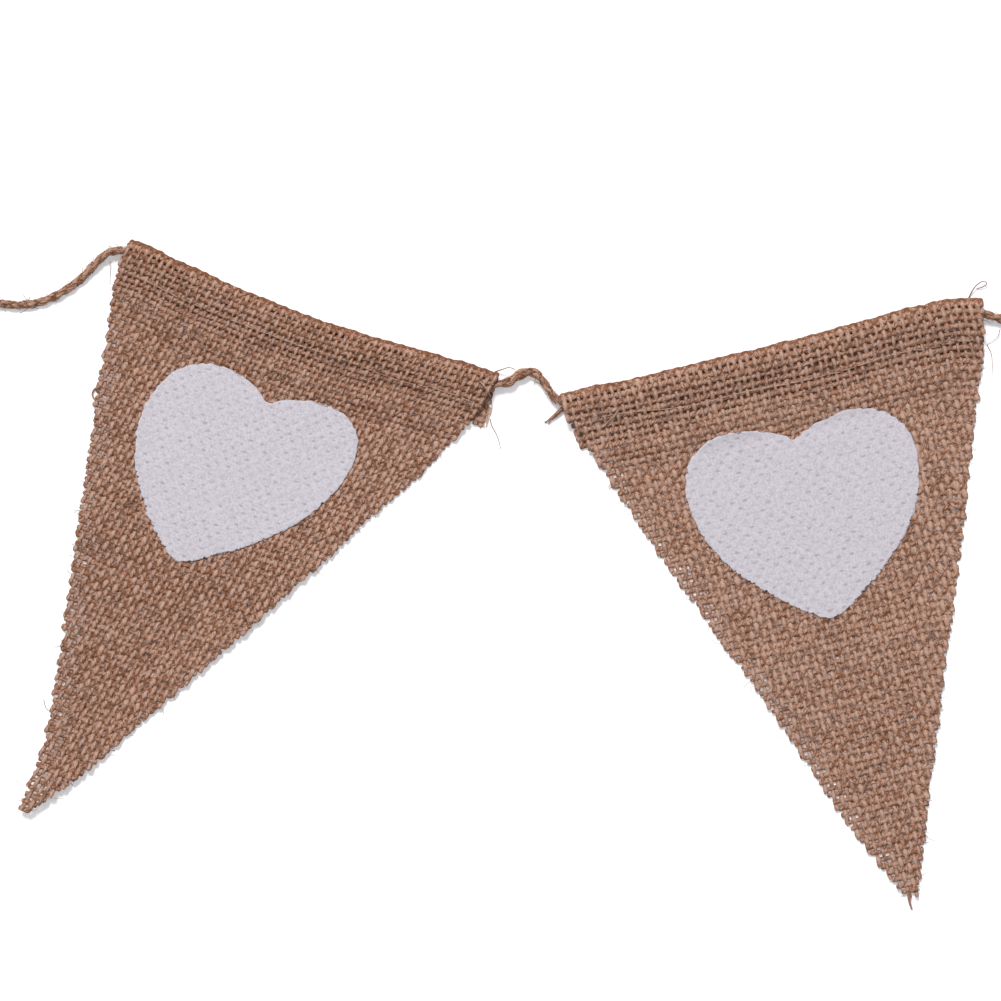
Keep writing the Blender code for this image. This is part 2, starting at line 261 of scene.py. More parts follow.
class Pennant:
    """One cut of cloth, with its edges measured along its own threads."""

    def __init__(self, cut):
        self.cut = cut
        self.left_corner = np.array(cut.left_corner)
        self.right_corner = np.array(cut.right_corner)
        point = np.array(cut.point)
        self.middle = (self.left_corner + self.right_corner) / 2
        self.along = unit(self.right_corner - self.left_corner)
        self.down = unit(point - self.middle)
        self.length = np.linalg.norm(point - self.middle)
        share = np.linspace(0.0, 1.0, EDGE_SAMPLES)
        half_point = self.along * POINT_WIDTH / 2
        left_edge = edge_points(self.left_corner, point - half_point, cut.left, share, -1)
        right_edge = edge_points(self.right_corner, point + half_point, cut.right, share, 1)
        self.left_edge = self.in_threads(left_edge)
        self.right_edge = self.in_threads(right_edge)

    def in_threads(self, places):
        """Distances along the weft and down the warp of places on the table."""
        return (places - self.middle) @ np.linalg.inv(np.column_stack([self.along, self.down])).T

    def sides(self, down):
        """Where the two cut sides are, along the weft, at a distance down."""
        return [np.interp(down, edge[:, 1], edge[:, 0]) for edge in (self.left_edge, self.right_edge)]

    def across(self, s, down):
        """s as a share of the way from the left side to the right one."""
        left, right = self.sides(down)
        return (s - left) / np.maximum(right - left, NARROWEST)

    def fold(self, across):
        """Places along the top edge, which is the fold's outermost line."""
        return edge_points(self.left_corner, self.right_corner, self.cut.top, across, 1)

    def straight_top(self, across):
        """Places on the straight line between the top corners."""
        top = self.right_corner - self.left_corner
        return self.left_corner + top * np.asarray(across, float)[..., None]

    def strip_fall(self, across):
        """From the straight top to the strip's cut edge."""
        across = np.asarray(across, float)[..., None]
        cut_left, cut_right = np.array(self.cut.strip_left), np.array(self.cut.strip_right)
        return cut_left + (cut_right - cut_left) * across - self.straight_top(across[..., 0])

    def strip_place(self, across, down):
        """Places on the strip at the back, at a distance down from the fold."""
        return self.fold(across) + unit(self.strip_fall(across)) * np.asarray(down, float)[..., None]

    def front_place(self, s, across, down):
        """Places on the front. What the top edge sags by dies out towards the point."""
        sag = self.fold(across) - self.straight_top(across)
        share = np.clip(down / self.length, 0.0, 1.0)[..., None]
        return self.middle + self.along * s[..., None] + self.down * down[..., None] + sag * (1.0 - share)

    def twine_down(self, across):
        """How far below the fold's outermost line the twine lies."""
        shares, distances = zip(*self.cut.lies)
        return smooth_through(shares, distances, np.clip(across, 0.0, 1.0))

    def front_height(self, across, down):
        """Height of the front's middle: over the twine, on the folded strip, then on the table."""
        past_strip = down - np.linalg.norm(self.strip_fall(across), axis=-1) - STEP_AFTER_STRIP
        from_twine = np.abs(down - self.twine_down(across))
        layer = ON_STRIP - (ON_STRIP - ON_SURFACE) * smooth_step(past_strip / STEP_DOWN)
        on_ridge = smooth_step((RIDGE_REACH - from_twine) / (RIDGE_REACH - RIDGE_FLAT))
        return layer + (OVER_TWINE - ON_STRIP) * on_ridge

    def rise(self, across, down):
        """How much further the soft rises lift the front."""
        share = down / self.length
        total = np.zeros_like(share)
        for rise in self.cut.rises:
            aside = np.abs(across - rise.across) / rise.reach_across
            below = np.abs(share - rise.down) / rise.reach_down
            total += rise.height * smooth_step(1.0 - aside) * smooth_step(1.0 - below)
        return total

    def places(self, s, m):
        """Places of the cloth's middle at (s, m)."""
        s, m = np.broadcast_arrays(np.asarray(s, float), np.asarray(m, float))
        down = FOLD_DEPTH + np.maximum(m, 0.0)
        across = np.clip(self.across(s, down), -PAST_SIDE, 1.0 + PAST_SIDE)
        angle = math.pi * np.clip(1.0 + m / FOLD_LENGTH, 0.0, 1.0)
        on_strip = FOLD_DEPTH + np.maximum(-FOLD_LENGTH - m, 0.0)
        fold_down = np.where(m < -FOLD_LENGTH, on_strip, FOLD_DEPTH * (1.0 - np.sin(angle)))
        strip = self.strip_place(across, fold_down)
        front_down = np.where(m < 0.0, FOLD_DEPTH * (1.0 - np.sin(angle)), down)
        front = self.front_place(s, across, front_down)
        flat = strip + (front - strip) * (angle / math.pi)[..., None]
        height = self.front_height(across, down) + self.rise(across, down) * smooth_step(m / STEP_DOWN)
        height = np.where(m < 0.0, ON_SURFACE + (height - ON_SURFACE) * (1.0 - np.cos(angle)) / 2, height)
        return np.concatenate([flat, height[..., None]], axis=-1)

    def outwards(self, s, m):
        """Unit vectors out of the cloth's printed side."""
        along = self.places(s + NORMAL_STEP, m) - self.places(s - NORMAL_STEP, m)
        down = self.places(s, m + NORMAL_STEP) - self.places(s, m - NORMAL_STEP)
        return unit(np.cross(down, along))

    def strip_end(self, across):
        """m at the strip's cut edge."""
        return FOLD_DEPTH - FOLD_LENGTH - np.linalg.norm(self.strip_fall(across), axis=-1)

    def cloth_at(self, on_table):
        """(s, m) of the front above places on the table: the way back from places()."""
        on_table = np.asarray(on_table, float)
        straight = on_table
        for _ in range(STEPS_BACK):
            s, down = self.in_threads(straight).T
            across = self.across(s, down)
            sag = self.fold(across) - self.straight_top(across)
            straight = on_table - sag * (1.0 - np.clip(down / self.length, 0.0, 1.0))[:, None]
        return s, down - FOLD_DEPTH


pennants = {name: Pennant(cut) for name, cut in CUTS.items()}
for name, pennant in pennants.items():
    print(f"{name}: top {np.ptp(pennant.sides(0.0)) / MM:.1f} mm, length {pennant.length / MM:.1f} mm")

# %% [markdown]
# ## The twine
#
# Jute twine is two plies twisted round each other. It is the one cord of this row: it comes in at the left,
# runs through both casings with a free stretch between them, and ends cut off at the right. Each ply is a
# curve that winds round the twine's own line, and the curve's bevel gives it its thickness. The line is the
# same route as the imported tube's, so the twine fills the casings just as that tube does.

# %% The twine's line
LEFT_TAIL = [
    (-0.1670, 0.0850, TWINE_ON_SURFACE),
    (-0.1610, 0.0840, TWINE_ON_SURFACE),
    (-0.1558, 0.0833, TWINE_ON_SURFACE),
    (-0.1518, 0.0829, TWINE_ON_SURFACE),
    (-0.1474, 0.0831, TWINE_ON_SURFACE),
    (-0.1434, 0.0839, TWINE_ON_SURFACE),
    (-0.1391, 0.0856, TWINE_ON_SURFACE),
    (-0.1350, 0.0880, TWINE_ON_SURFACE),
    (-0.1310, 0.0911, TWINE_ON_SURFACE),
    (-0.1282, 0.0939, TWINE_ON_SURFACE + 0.0003),
    (-0.1256, 0.0965, TWINE_ON_SURFACE + 0.0007),
    (-0.1231, 0.0984, TWINE_ON_SURFACE + 0.0011),
    (-0.1204, 0.0994, TWINE_ON_SURFACE + 0.0013),
]
BRIDGE = [
    (0.0014, 0.0590, 0.0024),
    (0.0043, 0.0610, 0.0021),
    (0.0073, 0.0621, 0.0019),
    (0.0099, 0.0615, 0.0019),
    (0.0119, 0.0592, 0.0019),
    (0.0138, 0.0562, 0.0021),
    (0.0160, 0.0536, 0.0024),
]
RIGHT_TAIL = [
    (0.1524, 0.0789, 0.0022),
    (0.1568, 0.0779, 0.0015),
    (0.1610, 0.0771, TWINE_ON_SURFACE),
    (0.1680, 0.0765, TWINE_ON_SURFACE),
]
CASING_SHARES = np.array([0.0, 0.05, 0.12, 0.24, 0.36, 0.48, 0.60, 0.72, 0.84, 0.93, 1.0])
TWINE_LENGTH = 0.356
LINE_STEP = 0.5 * MM


def casing_points(pennant):
    """The part of the twine's route that a casing hides."""
    places = pennant.strip_place(CASING_SHARES, pennant.twine_down(CASING_SHARES))
    return [(*place, TWINE_IN_CASING) for place in places]


twine_route = (
    LEFT_TAIL
    + casing_points(pennants["pennant_left"])
    + BRIDGE
    + casing_points(pennants["pennant_right"])
    + RIGHT_TAIL
)
twine_line = curve_through(twine_route, round(TWINE_LENGTH / LINE_STEP) + 1)
print(f"the twine is {np.linalg.norm(np.diff(twine_line, axis=0), axis=1).sum() / MM:.1f} mm long")

# %% [markdown]
# ## Strands
#
# Yarns, plies, threads and loose fibres are all strands: a line with a section that is round or flattened.
# A strand has its places, a radius factor and a tone at each of them, and a twist in turns a metre. The
# section is an outline of its own that is swept along the line, so a flat yarn and a round thread are made
# the same way.

# %% The section of a strand
Strand = namedtuple("Strand", "places radius tone twist")


def round_section(sides):
    """A regular section of unit radius."""
    angles = 2 * math.pi * np.arange(sides) / sides
    return np.column_stack([np.cos(angles), np.sin(angles)])


def section_object(width, height, shape):
    """The outline that is swept along the strands: a section of unit radius, made width by height."""
    outline = bpy.data.curves.new("section", "CURVE")
    outline.dimensions = "2D"
    spline = outline.splines.new("POLY")
    spline.points.add(len(shape) - 1)
    spline.use_cyclic_u = True
    for (x, y), point in zip(shape, spline.points):
        point.co = (width / 2 * x, height / 2 * y, 0.0, 1.0)
    section = bpy.data.objects.new("section", outline)
    bpy.context.scene.collection.objects.link(section)
    return section


print("a round section of four sides has its corners at", round_section(4).round(1).tolist())

# %% [markdown]
# ## A mesh of many strands
#
# One curve object holds many strands, each as a poly spline, and its bevel object is the section. Blender
# turns it into a mesh in one go, ring after ring, which is much quicker than a tube at a time. Each ring
# then gets what the material needs: how far along its strand it is, how far round, and its tone. The top
# and bottom of a yarn catch the light and its flanks lie in the gaps, so the tone also carries painted
# light: a painted highlight on the section's crests and painted shade on its flanks.

# %% A mesh of many strands
STRAND_ATTRIBUTE = "strand"
TONE_ATTRIBUTE = "tone"
CREST_LEVEL = 0.74
STRAND_SHIFT = 7.3
WELD_DISTANCE = 0.001 * MM


def swept_mesh(name, strands, section):
    """The strands' curve, made a mesh. Its rings come in order, after the two caps of every strand."""
    curve = bpy.data.curves.new(name, "CURVE")
    curve.dimensions = "3D"
    curve.bevel_mode = "OBJECT"
    curve.bevel_object = section
    curve.use_fill_caps = True
    for strand in strands:
        count = len(strand.places)
        spline = curve.splines.new("POLY")
        spline.points.add(count - 1)
        spline.points.foreach_set("co", np.column_stack([strand.places, np.ones(count)]).ravel())
        spline.points.foreach_set("radius", np.broadcast_to(strand.radius, count).astype(np.float32))
    swept = bpy.data.objects.new(name, curve)
    bpy.context.scene.collection.objects.link(swept)
    mesh = bpy.data.meshes.new_from_object(swept.evaluated_get(bpy.context.evaluated_depsgraph_get()))
    bpy.data.objects.remove(swept)
    bpy.data.curves.remove(curve)
    return mesh


def strand_values(strands, shape, crest):
    """Two values for every vertex of the swept mesh: its place on the strand, as the length along and the
    angle round, and its tone, to which crest adds painted highlight above and below and painted shade on the
    flanks."""
    sides = len(shape)
    angles = 2 * math.pi * np.arange(sides) / sides
    # Painted highlight on the section's top and bottom, painted shade on its flanks.
    crest_highlight_and_shade = crest * (np.abs(np.array(shape)[:, 1]) - CREST_LEVEL)
    caps, rings, cap_tones, ring_tones = [], [], [], []
    for number, strand in enumerate(strands):
        along = np.concatenate([[0.0], np.cumsum(np.linalg.norm(np.diff(strand.places, axis=0), axis=1))])
        turned = angles[None, :] + 2 * math.pi * strand.twist * along[:, None]
        lengthways = np.broadcast_to(along[:, None] / MM + STRAND_SHIFT * number, turned.shape)
        values = np.stack([lengthways, np.cos(turned), np.sin(turned)], axis=-1)
        tones = (np.broadcast_to(strand.tone, len(along))[:, None] + crest_highlight_and_shade).ravel()
        caps += [values[-1], values[0]]
        cap_tones += [tones[-sides:], tones[:sides]]
        rings.append(values.reshape(-1, 3))
        ring_tones.append(tones)
    return np.concatenate(caps + rings), np.concatenate(cap_tones + ring_tones)


def weld(mesh):
    """Joins each cap to its tube."""
    shape = bmesh.new()
    shape.from_mesh(mesh)
    bmesh.ops.remove_doubles(shape, verts=shape.verts, dist=WELD_DISTANCE)
    shape.to_mesh(mesh)
    shape.free()


def add_piece(name, mesh, material):
    """A finished piece, at the origin, riding on the row's one body."""
    mesh.materials.clear()
    mesh.materials.append(material)
    mesh.shade_smooth()
    piece = bpy.data.objects.new(name, mesh)
    bpy.context.scene.collection.objects.link(piece)
    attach(piece, "root")
    return piece


def make_strands(name, strands, width, height, shape, material, crest=0.0):
    """A finished piece of many strands."""
    section = section_object(width, height, shape)
    mesh = swept_mesh(name, strands, section)
    bpy.data.objects.remove(section)
    values, tones = strand_values(strands, shape, crest)
    mesh.attributes.new(STRAND_ATTRIBUTE, "FLOAT_VECTOR", "POINT").data.foreach_set("vector", values.ravel())
    mesh.attributes.new(TONE_ATTRIBUTE, "FLOAT", "POINT").data.foreach_set("value", tones)
    weld(mesh)
    triangles = sum(len(face.vertices) - 2 for face in mesh.polygons)
    print(f"{name}: {len(strands)} strands, {triangles} triangles")
    return add_piece(name, mesh, material)


def make_round_strands(name, strands, diameter, sides, material):
    return make_strands(name, strands, diameter, diameter, round_section(sides), material)


print("each vertex carries the attributes", STRAND_ATTRIBUTE, "and", TONE_ATTRIBUTE)

# %% [markdown]
# ## Helpers for materials
#
# A material is a tree of shader nodes, and the same few kinds of node come up again and again. Each helper
# adds one kind and takes its inputs by name: a plain value, or the output of another node, which it then
# links. The sockets of a Mix node for colours share their names with those for numbers, so they are known
# by their places.

# %% Material helpers
MIX_SHARE, MIX_FIRST, MIX_SECOND, MIX_RESULT = 0, 6, 7, 2


def new_material(name):
    """A material with its node tree and its main shader."""
    material = bpy.data.materials.new(name)
    material.use_nodes = True
    return material, material.node_tree, material.node_tree.nodes["Principled BSDF"]


def add_node(tree, kind, values=None, **settings):
    """A node with its settings, and its inputs by name: a value, or another node's output."""
    node = tree.nodes.new(kind)
    for setting, value in settings.items():
        setattr(node, setting, value)
    for socket, value in (values or {}).items():
        if isinstance(value, bpy.types.NodeSocket):
            tree.links.new(value, node.inputs[socket])
        else:
            node.inputs[socket].default_value = value
    return node


def mixed(tree, share, first, second):
    """Two colours mixed by share."""
    inputs = {MIX_SHARE: share, MIX_FIRST: first, MIX_SECOND: second}
    return add_node(tree, "ShaderNodeMix", inputs, data_type="RGBA").outputs[MIX_RESULT]


def math_node(tree, operation, first, second=0.0):
    return add_node(tree, "ShaderNodeMath", {0: first, 1: second}, operation=operation).outputs[0]


def vector_math(tree, operation, first, second):
    return add_node(tree, "ShaderNodeVectorMath", {0: first, 1: second}, operation=operation).outputs[0]


def map_range(tree, value, start, end, low=0.0, high=1.0):
    """A value that goes from low to high while the given one goes from start to end."""
    inputs = {"Value": value, "From Min": start, "From Max": end, "To Min": low, "To Max": high}
    return add_node(tree, "ShaderNodeMapRange", inputs).outputs[0]


def noise(tree, place, scale, detail, roughness=0.5):
    inputs = {"Vector": place, "Scale": scale, "Detail": detail, "Roughness": roughness}
    return add_node(tree, "ShaderNodeTexNoise", inputs)


def set_surface(tree, shader, colour, roughness, shine):
    tree.links.new(colour, shader.inputs["Base Color"])
    shader.inputs["Roughness"].default_value = roughness
    shader.inputs["Specular IOR Level"].default_value = shine


def add_relief(tree, shader, height, strength, distance):
    """Shades the surface as if height lifted it."""
    bump = add_node(tree, "ShaderNodeBump", {"Height": height, "Strength": strength, "Distance": distance})
    tree.links.new(bump.outputs["Normal"], shader.inputs["Normal"])


def ramp(tree, factor, stops):
    """A colour between the stops, which are (position, colour)."""
    node = add_node(tree, "ShaderNodeValToRGB", {0: factor})
    while len(node.color_ramp.elements) < len(stops):
        node.color_ramp.elements.new(0.5)
    for element, (position, colour) in zip(node.color_ramp.elements, stops):
        element.position = position
        element.color = colour
    return node.outputs["Color"]


print("the helpers add mix, maths, range, noise, relief and ramp nodes")

# %% [markdown]
# ## The colour of jute
#
# Jute is a plant fibre: matt, brown, and never one colour. Fine streaks run along a yarn, wider patches are
# a little paler or darker, and here and there a fibre has another colour. All three are noise that is
# stretched along the strand and wound round it. The streaks and patches add up with the strand's tone to
# one shade, which picks the colour between dark and light, and the streaks lift the surface a little as
# bump.

# %% Fibre material
StrandNoise = namedtuple("StrandNoise", "scale detail along")
STREAKS = StrandNoise(scale=1.9, detail=2.0, along=0.36)
PATCHES = StrandNoise(scale=0.5, detail=1.0, along=0.25)
ODD_FIBRES = StrandNoise(scale=1.3, detail=1.0, along=0.12)
STRAND_NOISE_ROUGHNESS = 0.72
STREAK_STRENGTH = 2.4
PATCH_STRENGTH = 0.4
DARKEST_SHADE, PALEST_SHADE = 1.15, 1.60
ODD_FROM, ODD_FULLY = 0.62, 0.72
ODD_STRENGTH = 0.55
FIBRE_SHINE = 0.18
FIBRE_RELIEF = 0.25 * MM


def stretched_noise(tree, strand, kind):
    """Noise that is long along a strand and fine round it."""
    place = vector_math(tree, "MULTIPLY", strand, (kind.along, 1.0, 1.0))
    return noise(tree, place, kind.scale, kind.detail, STRAND_NOISE_ROUGHNESS).outputs["Fac"]


def fibre_material(name, dark, middle, light, accent, roughness, bump):
    """A matt fibrous strand: shade by tone, streaks along it, and a few fibres of another colour."""
    material, tree, shader = new_material(name)
    strand = add_node(tree, "ShaderNodeAttribute", attribute_name=STRAND_ATTRIBUTE).outputs["Vector"]
    tone = add_node(tree, "ShaderNodeAttribute", attribute_name=TONE_ATTRIBUTE).outputs["Fac"]
    streaks = stretched_noise(tree, strand, STREAKS)
    patches = stretched_noise(tree, strand, PATCHES)
    odd = stretched_noise(tree, strand, ODD_FIBRES)
    shade = math_node(tree, "ADD", math_node(tree, "MULTIPLY", streaks, STREAK_STRENGTH), tone)
    shade = math_node(tree, "ADD", shade, math_node(tree, "MULTIPLY", patches, PATCH_STRENGTH))
    shade = map_range(tree, shade, DARKEST_SHADE, PALEST_SHADE)
    colour = ramp(tree, shade, [(0.0, dark), (0.5, middle), (1.0, light)])
    odd_share = map_range(tree, odd, ODD_FROM, ODD_FULLY, high=ODD_STRENGTH)
    set_surface(tree, shader, mixed(tree, odd_share, colour, accent), roughness, FIBRE_SHINE)
    add_relief(tree, shader, streaks, bump, FIBRE_RELIEF)
    return material


hessian = fibre_material(
    "hessian",
    dark=(0.188, 0.075, 0.037, 1.0),
    middle=(0.350, 0.190, 0.130, 1.0),
    light=(0.492, 0.318, 0.246, 1.0),
    accent=(0.46, 0.18, 0.07, 1.0),
    roughness=0.85,
    bump=1.0,
)
print("the hessian's material has", len(hessian.node_tree.nodes), "nodes")

# %% [markdown]
# ## Where the hearts are printed
#
# A white heart is printed on each pennant. A print moves with its cloth, so the heart is laid out along the
# threads: its notch and its tip give its place, lean and length, and one half outline serves both sides of
# both hearts. The outline is known before the cloth is woven, because the paint presses the yarns under it
# flat.

# %% The hearts' outlines
# A heart's notch and tip are places on the table in metres, and half_width is a step from its middle line.
Heart = namedtuple("Heart", "notch tip half_width")
HEARTS = {
    "pennant_left": Heart(notch=(-0.0733, 0.0525), tip=(-0.1014, 0.0033), half_width=(0.0315, -0.0117)),
    "pennant_right": Heart(notch=(0.0897, 0.0412), tip=(0.1015, -0.0144), half_width=(0.0364, 0.0071)),
}
# From notch to tip: shares of the half width and of the length.
HEART_HALF = [(0.0, 0.0), (0.10, -0.040), (0.34, -0.095), (0.57, -0.104), (0.77, -0.064), (0.915, 0.025),
              (0.985, 0.17), (0.950, 0.365), (0.820, 0.550), (0.545, 0.760), (0.21, 0.934), (0.06, 0.99),
              (0.0, 1.0)]
HALF_COUNT = 1200
# Places on the lower sides where the paint didn't take, in metres.
NICKS = {"pennant_left": (-0.0885, 0.0059), "pennant_right": (0.1121, -0.0051)}


class Print:
    """A heart on a pennant. Its outline is in the cloth's coordinates."""

    def __init__(self, pennant, heart, nick):
        self.pennant = pennant
        self.nick = np.column_stack(pennant.cloth_at([nick]))[0]
        self.notch = np.array(heart.notch)
        self.axes = np.array([heart.half_width, np.array(heart.tip) - self.notch])
        self.half = curve_through(HEART_HALF, HALF_COUNT)
        both = np.concatenate([self.half, self.half[-2:0:-1] * (-1, 1)])
        self.outline = np.column_stack(pennant.cloth_at(self.notch + both @ self.axes))

    def contains(self, s, m):
        """Whether the heart covers (s, m). Above its notch it has an inner side as well as an outer one."""
        on_table = self.pennant.places(s, m)[..., :2]
        aside, down = np.moveaxis((on_table - self.notch) @ np.linalg.inv(self.axes), -1, 0)
        aside = np.abs(aside)
        top = int(self.half[:, 1].argmin())
        outer = np.interp(down, self.half[top:, 1], self.half[top:, 0], left=-1.0, right=-1.0)
        inner = np.interp(down, self.half[top::-1, 1], self.half[top::-1, 0], right=-1.0)
        return (aside < outer) & (aside > inner)


prints = {name: Print(pennants[name], heart, NICKS[name]) for name, heart in HEARTS.items()}
for name, heart_print in prints.items():
    print(f"{name}: its heart is {np.ptp(heart_print.outline[:, 0]) / MM:.0f} mm wide, "
          f"{np.ptp(heart_print.outline[:, 1]) / MM:.0f} mm high")

# %% [markdown]
# ## The weave
#
# Hessian is a plain weave: every weft yarn passes over one warp yarn and under the next, so a yarn rises
# and dips along its way. All of this is modelled as real yarns, because the light then finds its way
# through the gaps and shades the dips by itself. Yarn number and row number decide which yarn is on top.
#
# The two systems of yarns are not alike. The warps stand a little prouder here and are paler than the
# wefts. Each pennant also has a tone of its own, as two cuts of one cloth do. At every crossing the yarn on
# top gets painted light and shade: a warp on top is painted paler, a weft on top darker.

# %% Values of the weave
# A yarn's section has unit radius, a ridge above and below, and steep flanks.
YARN_SHAPE = [(0.92, 0.28), (0.0, 1.0), (-0.92, 0.28), (-0.92, -0.28), (0.0, -1.0), (0.92, -0.28)]
YARN_HEIGHT = 0.88 * MM
WARP_COVER = 0.84
WEFT_COVER = 0.95
WARP_CRIMP = 0.32 * MM
WEFT_CRIMP = 0.20 * MM
WARP_PROUD = 0.12 * MM
RINGS_PER_CROSSING = 4
YARN_TWIST = -1 / (5 * MM)
YARN_WANDER = 0.16 * MM
WANDER_REACH = 9 * MM
PENNANT_TONES = {"pennant_left": -0.04, "pennant_right": 0.035}
WARP_PALER = 0.07
# Painted light and shade at the crossings: a warp on top is painted paler, a weft on top darker.
CROSSING_PAINTED_SHADING = 0.13
# How much painted highlight each system gets on its crests, and painted shade on its flanks.
WARP_CREST_PAINTED_LIGHT = 0.44
WEFT_CREST_PAINTED_LIGHT = 0.30
print(f"a yarn is {YARN_HEIGHT / MM:.2f} mm high and turns once in {abs(1 / YARN_TWIST) / MM:.0f} mm")

# %% [markdown]
# ## How the cut sides fray
#
# Cut hessian loses yarns along its sides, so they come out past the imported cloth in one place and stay
# short of it in another. The tables say by how much, for the left side and then the right one, in
# millimetres: how far down from the fold, and how far out. The top left corner of the right pennant has the
# longest free wefts.

# %% Frayed sides
FRAYED_SIDES = {
    "pennant_left": (
        [(0, 0), (40, 0.3), (60, -0.2), (80, 0.3), (116, 0.3), (119, 0.5), (120.5, -1.0), (123, 0),
         (150, 0.2)],
        [(0, 0), (25, -0.3), (40, 0.3), (58, -0.3), (75, 0.4), (77, -0.4), (100, 0.2), (130, 0)],
    ),
    "pennant_right": (
        [(0, 2.4), (5, 2.2), (7.5, 1.0), (12, 0.4), (15, 0), (31, 0.3), (34, 0.9), (35.5, -0.5), (40, 0),
         (66, 0.3), (68.5, 0.5), (70, -0.5), (76, 0.2), (88, 0.5), (90, -0.4), (110, 0)],
        [(0, 0), (30, 0.2), (52, -0.3), (70, 0.3), (95, -0.2), (120, 0.3), (150, 0)],
    ),
}
RAGGED_SIDE = 0.20 * MM
RAGGED_REACH = 7 * MM


def frayed(edge, fray, side):
    """A cut edge, moved outwards along the weft."""
    moved = edge.copy()
    moved[:, 0] += side * np.interp(edge[:, 1] - FOLD_DEPTH, *fray)
    return moved


furthest = max(out for sides in FRAYED_SIDES.values() for side in sides for _, out in side)
print(f"the wefts come out by up to {furthest} mm")

# %% [markdown]
# ## The shape and shade of one yarn
#
# Jute yarn is spun unevenly: it has thick and thin places, and no two yarns have quite the same shade.
# Every value that varies is a smooth random drift along the yarn. The cloth's places matter as well. Over
# the casing the yarns are thinner, and so the gaps open. Near the left cut side below it they are a little
# thinner too. On the strip and round the fold they are wide and close the gaps, the fold pulls them
# straight, and paint holds them down. A cut end is blunt, because the twist opens there and the yarn swells
# before it rounds off.

# %% One yarn
SLUBS = ((0.12, 5 * MM), (0.06, 1.5 * MM))
PRESSED_WIDER = 0.06
RADIUS_SPREAD = 0.06
THINNEST, THICKEST = 0.70, 1.40
BLUNT_END = (0.62, 1.00, 1.08)
STRIP_WIDER = 1.08
WARPS_NARROWER = 0.22
WEFTS_NARROWER = 0.12
CASING_DEPTH = 17 * MM
CASING_EASE = 3 * MM
EASE_ABOVE_FOLD = 0.8
OPEN_SIDE = 7 * MM
OPEN_SIDE_ENDS = 1.3
OPEN_SIDE_NARROWER = 0.16
FOLD_EDGE = 3.0 * MM
# Painted shade along the fold's edge, where the cloth turns under.
FOLD_EDGE_PAINTED_SHADE = 0.32
TONE_SPREAD = 0.035
TONE_DRIFT = 0.03
MEAN_LIFT, LIFT_SWING = 0.15, 0.85
FOLD_STRAIGHTENS = 0.55
FOLD_STRAIGHT_REACH = 0.8 * FOLD_LENGTH
PAINT_LEAVES = 0.35


def drift(rng, at, reach):
    """A smooth random line of unit strength that changes over about the given reach."""
    knots = np.arange(at.min() - 2 * reach, at.max() + 3 * reach, reach)
    return smooth_through(knots, rng.standard_normal(len(knots)), at)


def blunt_ends(count):
    """Radius factors of a yarn with two cut ends."""
    factors = np.ones(count)
    for place, factor in enumerate(BLUNT_END):
        factors[place] = factors[-1 - place] = factor
    return factors


def yarn_radius(rng, along, at, m, narrower, from_side):
    """Radius factors along a yarn. at counts the crossings, and at each of them the yarn is pressed wider.
    Every change from one part of the cloth to the next is eased over a few millimetres."""
    slubs = sum(strength * drift(rng, along, reach) for strength, reach in SLUBS)
    pressed = PRESSED_WIDER * np.cos(2 * math.pi * at)
    radius = np.clip(1 + slubs + pressed + rng.normal(0, RADIUS_SPREAD), THINNEST, THICKEST)
    below_fold = smooth_step(m / CASING_EASE + EASE_ABOVE_FOLD)
    on_casing = below_fold * smooth_step((CASING_DEPTH - m) / (2 * CASING_EASE) + 0.5)
    near_side = smooth_step(OPEN_SIDE_ENDS - from_side / OPEN_SIDE)
    at_side = smooth_step((m - CASING_DEPTH) / OPEN_SIDE) * near_side
    on_front = 1.0 - narrower * on_casing - OPEN_SIDE_NARROWER * at_side
    behind = smooth_step(-m / FOLD_EDGE)
    return radius * blunt_ends(len(at)) * (on_front + (STRIP_WIDER - on_front) * behind)


def yarn_tone(rng, along, m):
    """Each yarn has its own tone, which drifts along its length, and painted shade makes it darker along the
    fold's edge.
    """
    # Painted shade: darker in a narrow band round the middle of the fold.
    painted_fold_shade = smooth_step(1 - np.abs(m + FOLD_LENGTH / 2) / FOLD_EDGE)
    own = rng.normal(0, TONE_SPREAD)
    return own + TONE_DRIFT * drift(rng, along, WANDER_REACH) - FOLD_EDGE_PAINTED_SHADE * painted_fold_shade


def left_by_paint(printed):
    """The share of its lift that a yarn keeps."""
    return np.where(printed, PAINT_LEAVES, 1.0)


def yarn_lift(crimp, wave, m, printed):
    """How far a yarn is above the cloth's middle. It stands up further than it dips, because the table is
    under it."""
    in_fold = smooth_step(1 - np.abs(m + FOLD_LENGTH / 2) / FOLD_STRAIGHT_REACH)
    lift = crimp * (MEAN_LIFT + LIFT_SWING * wave)
    return lift * (1 - FOLD_STRAIGHTENS * in_fold) * left_by_paint(printed)


def lay_yarn(pennant, s, m, lift, radius):
    """A yarn's places, none so low that it would go into the table."""
    places = pennant.places(s, m) + pennant.outwards(s, m) * lift[:, None]
    places[:, 2] = np.maximum(places[:, 2], radius * YARN_HEIGHT / 2)
    return places


print("a yarn of eight rings has the radius factors", blunt_ends(8).tolist())

# %% [markdown]
# ## Where the yarns lie
#
# Warps are evenly spaced from the left side. Wefts start at the fold and go down the front and back over
# the strip. Both are numbered, and any place on the cloth gets a warp number and a weft number. Those
# numbers set the places of the rings below, and later of the marks on the print.

# %% Where the yarns lie
WEAVE_SEED = 11
LAST_WARP_ROOM = 0.3


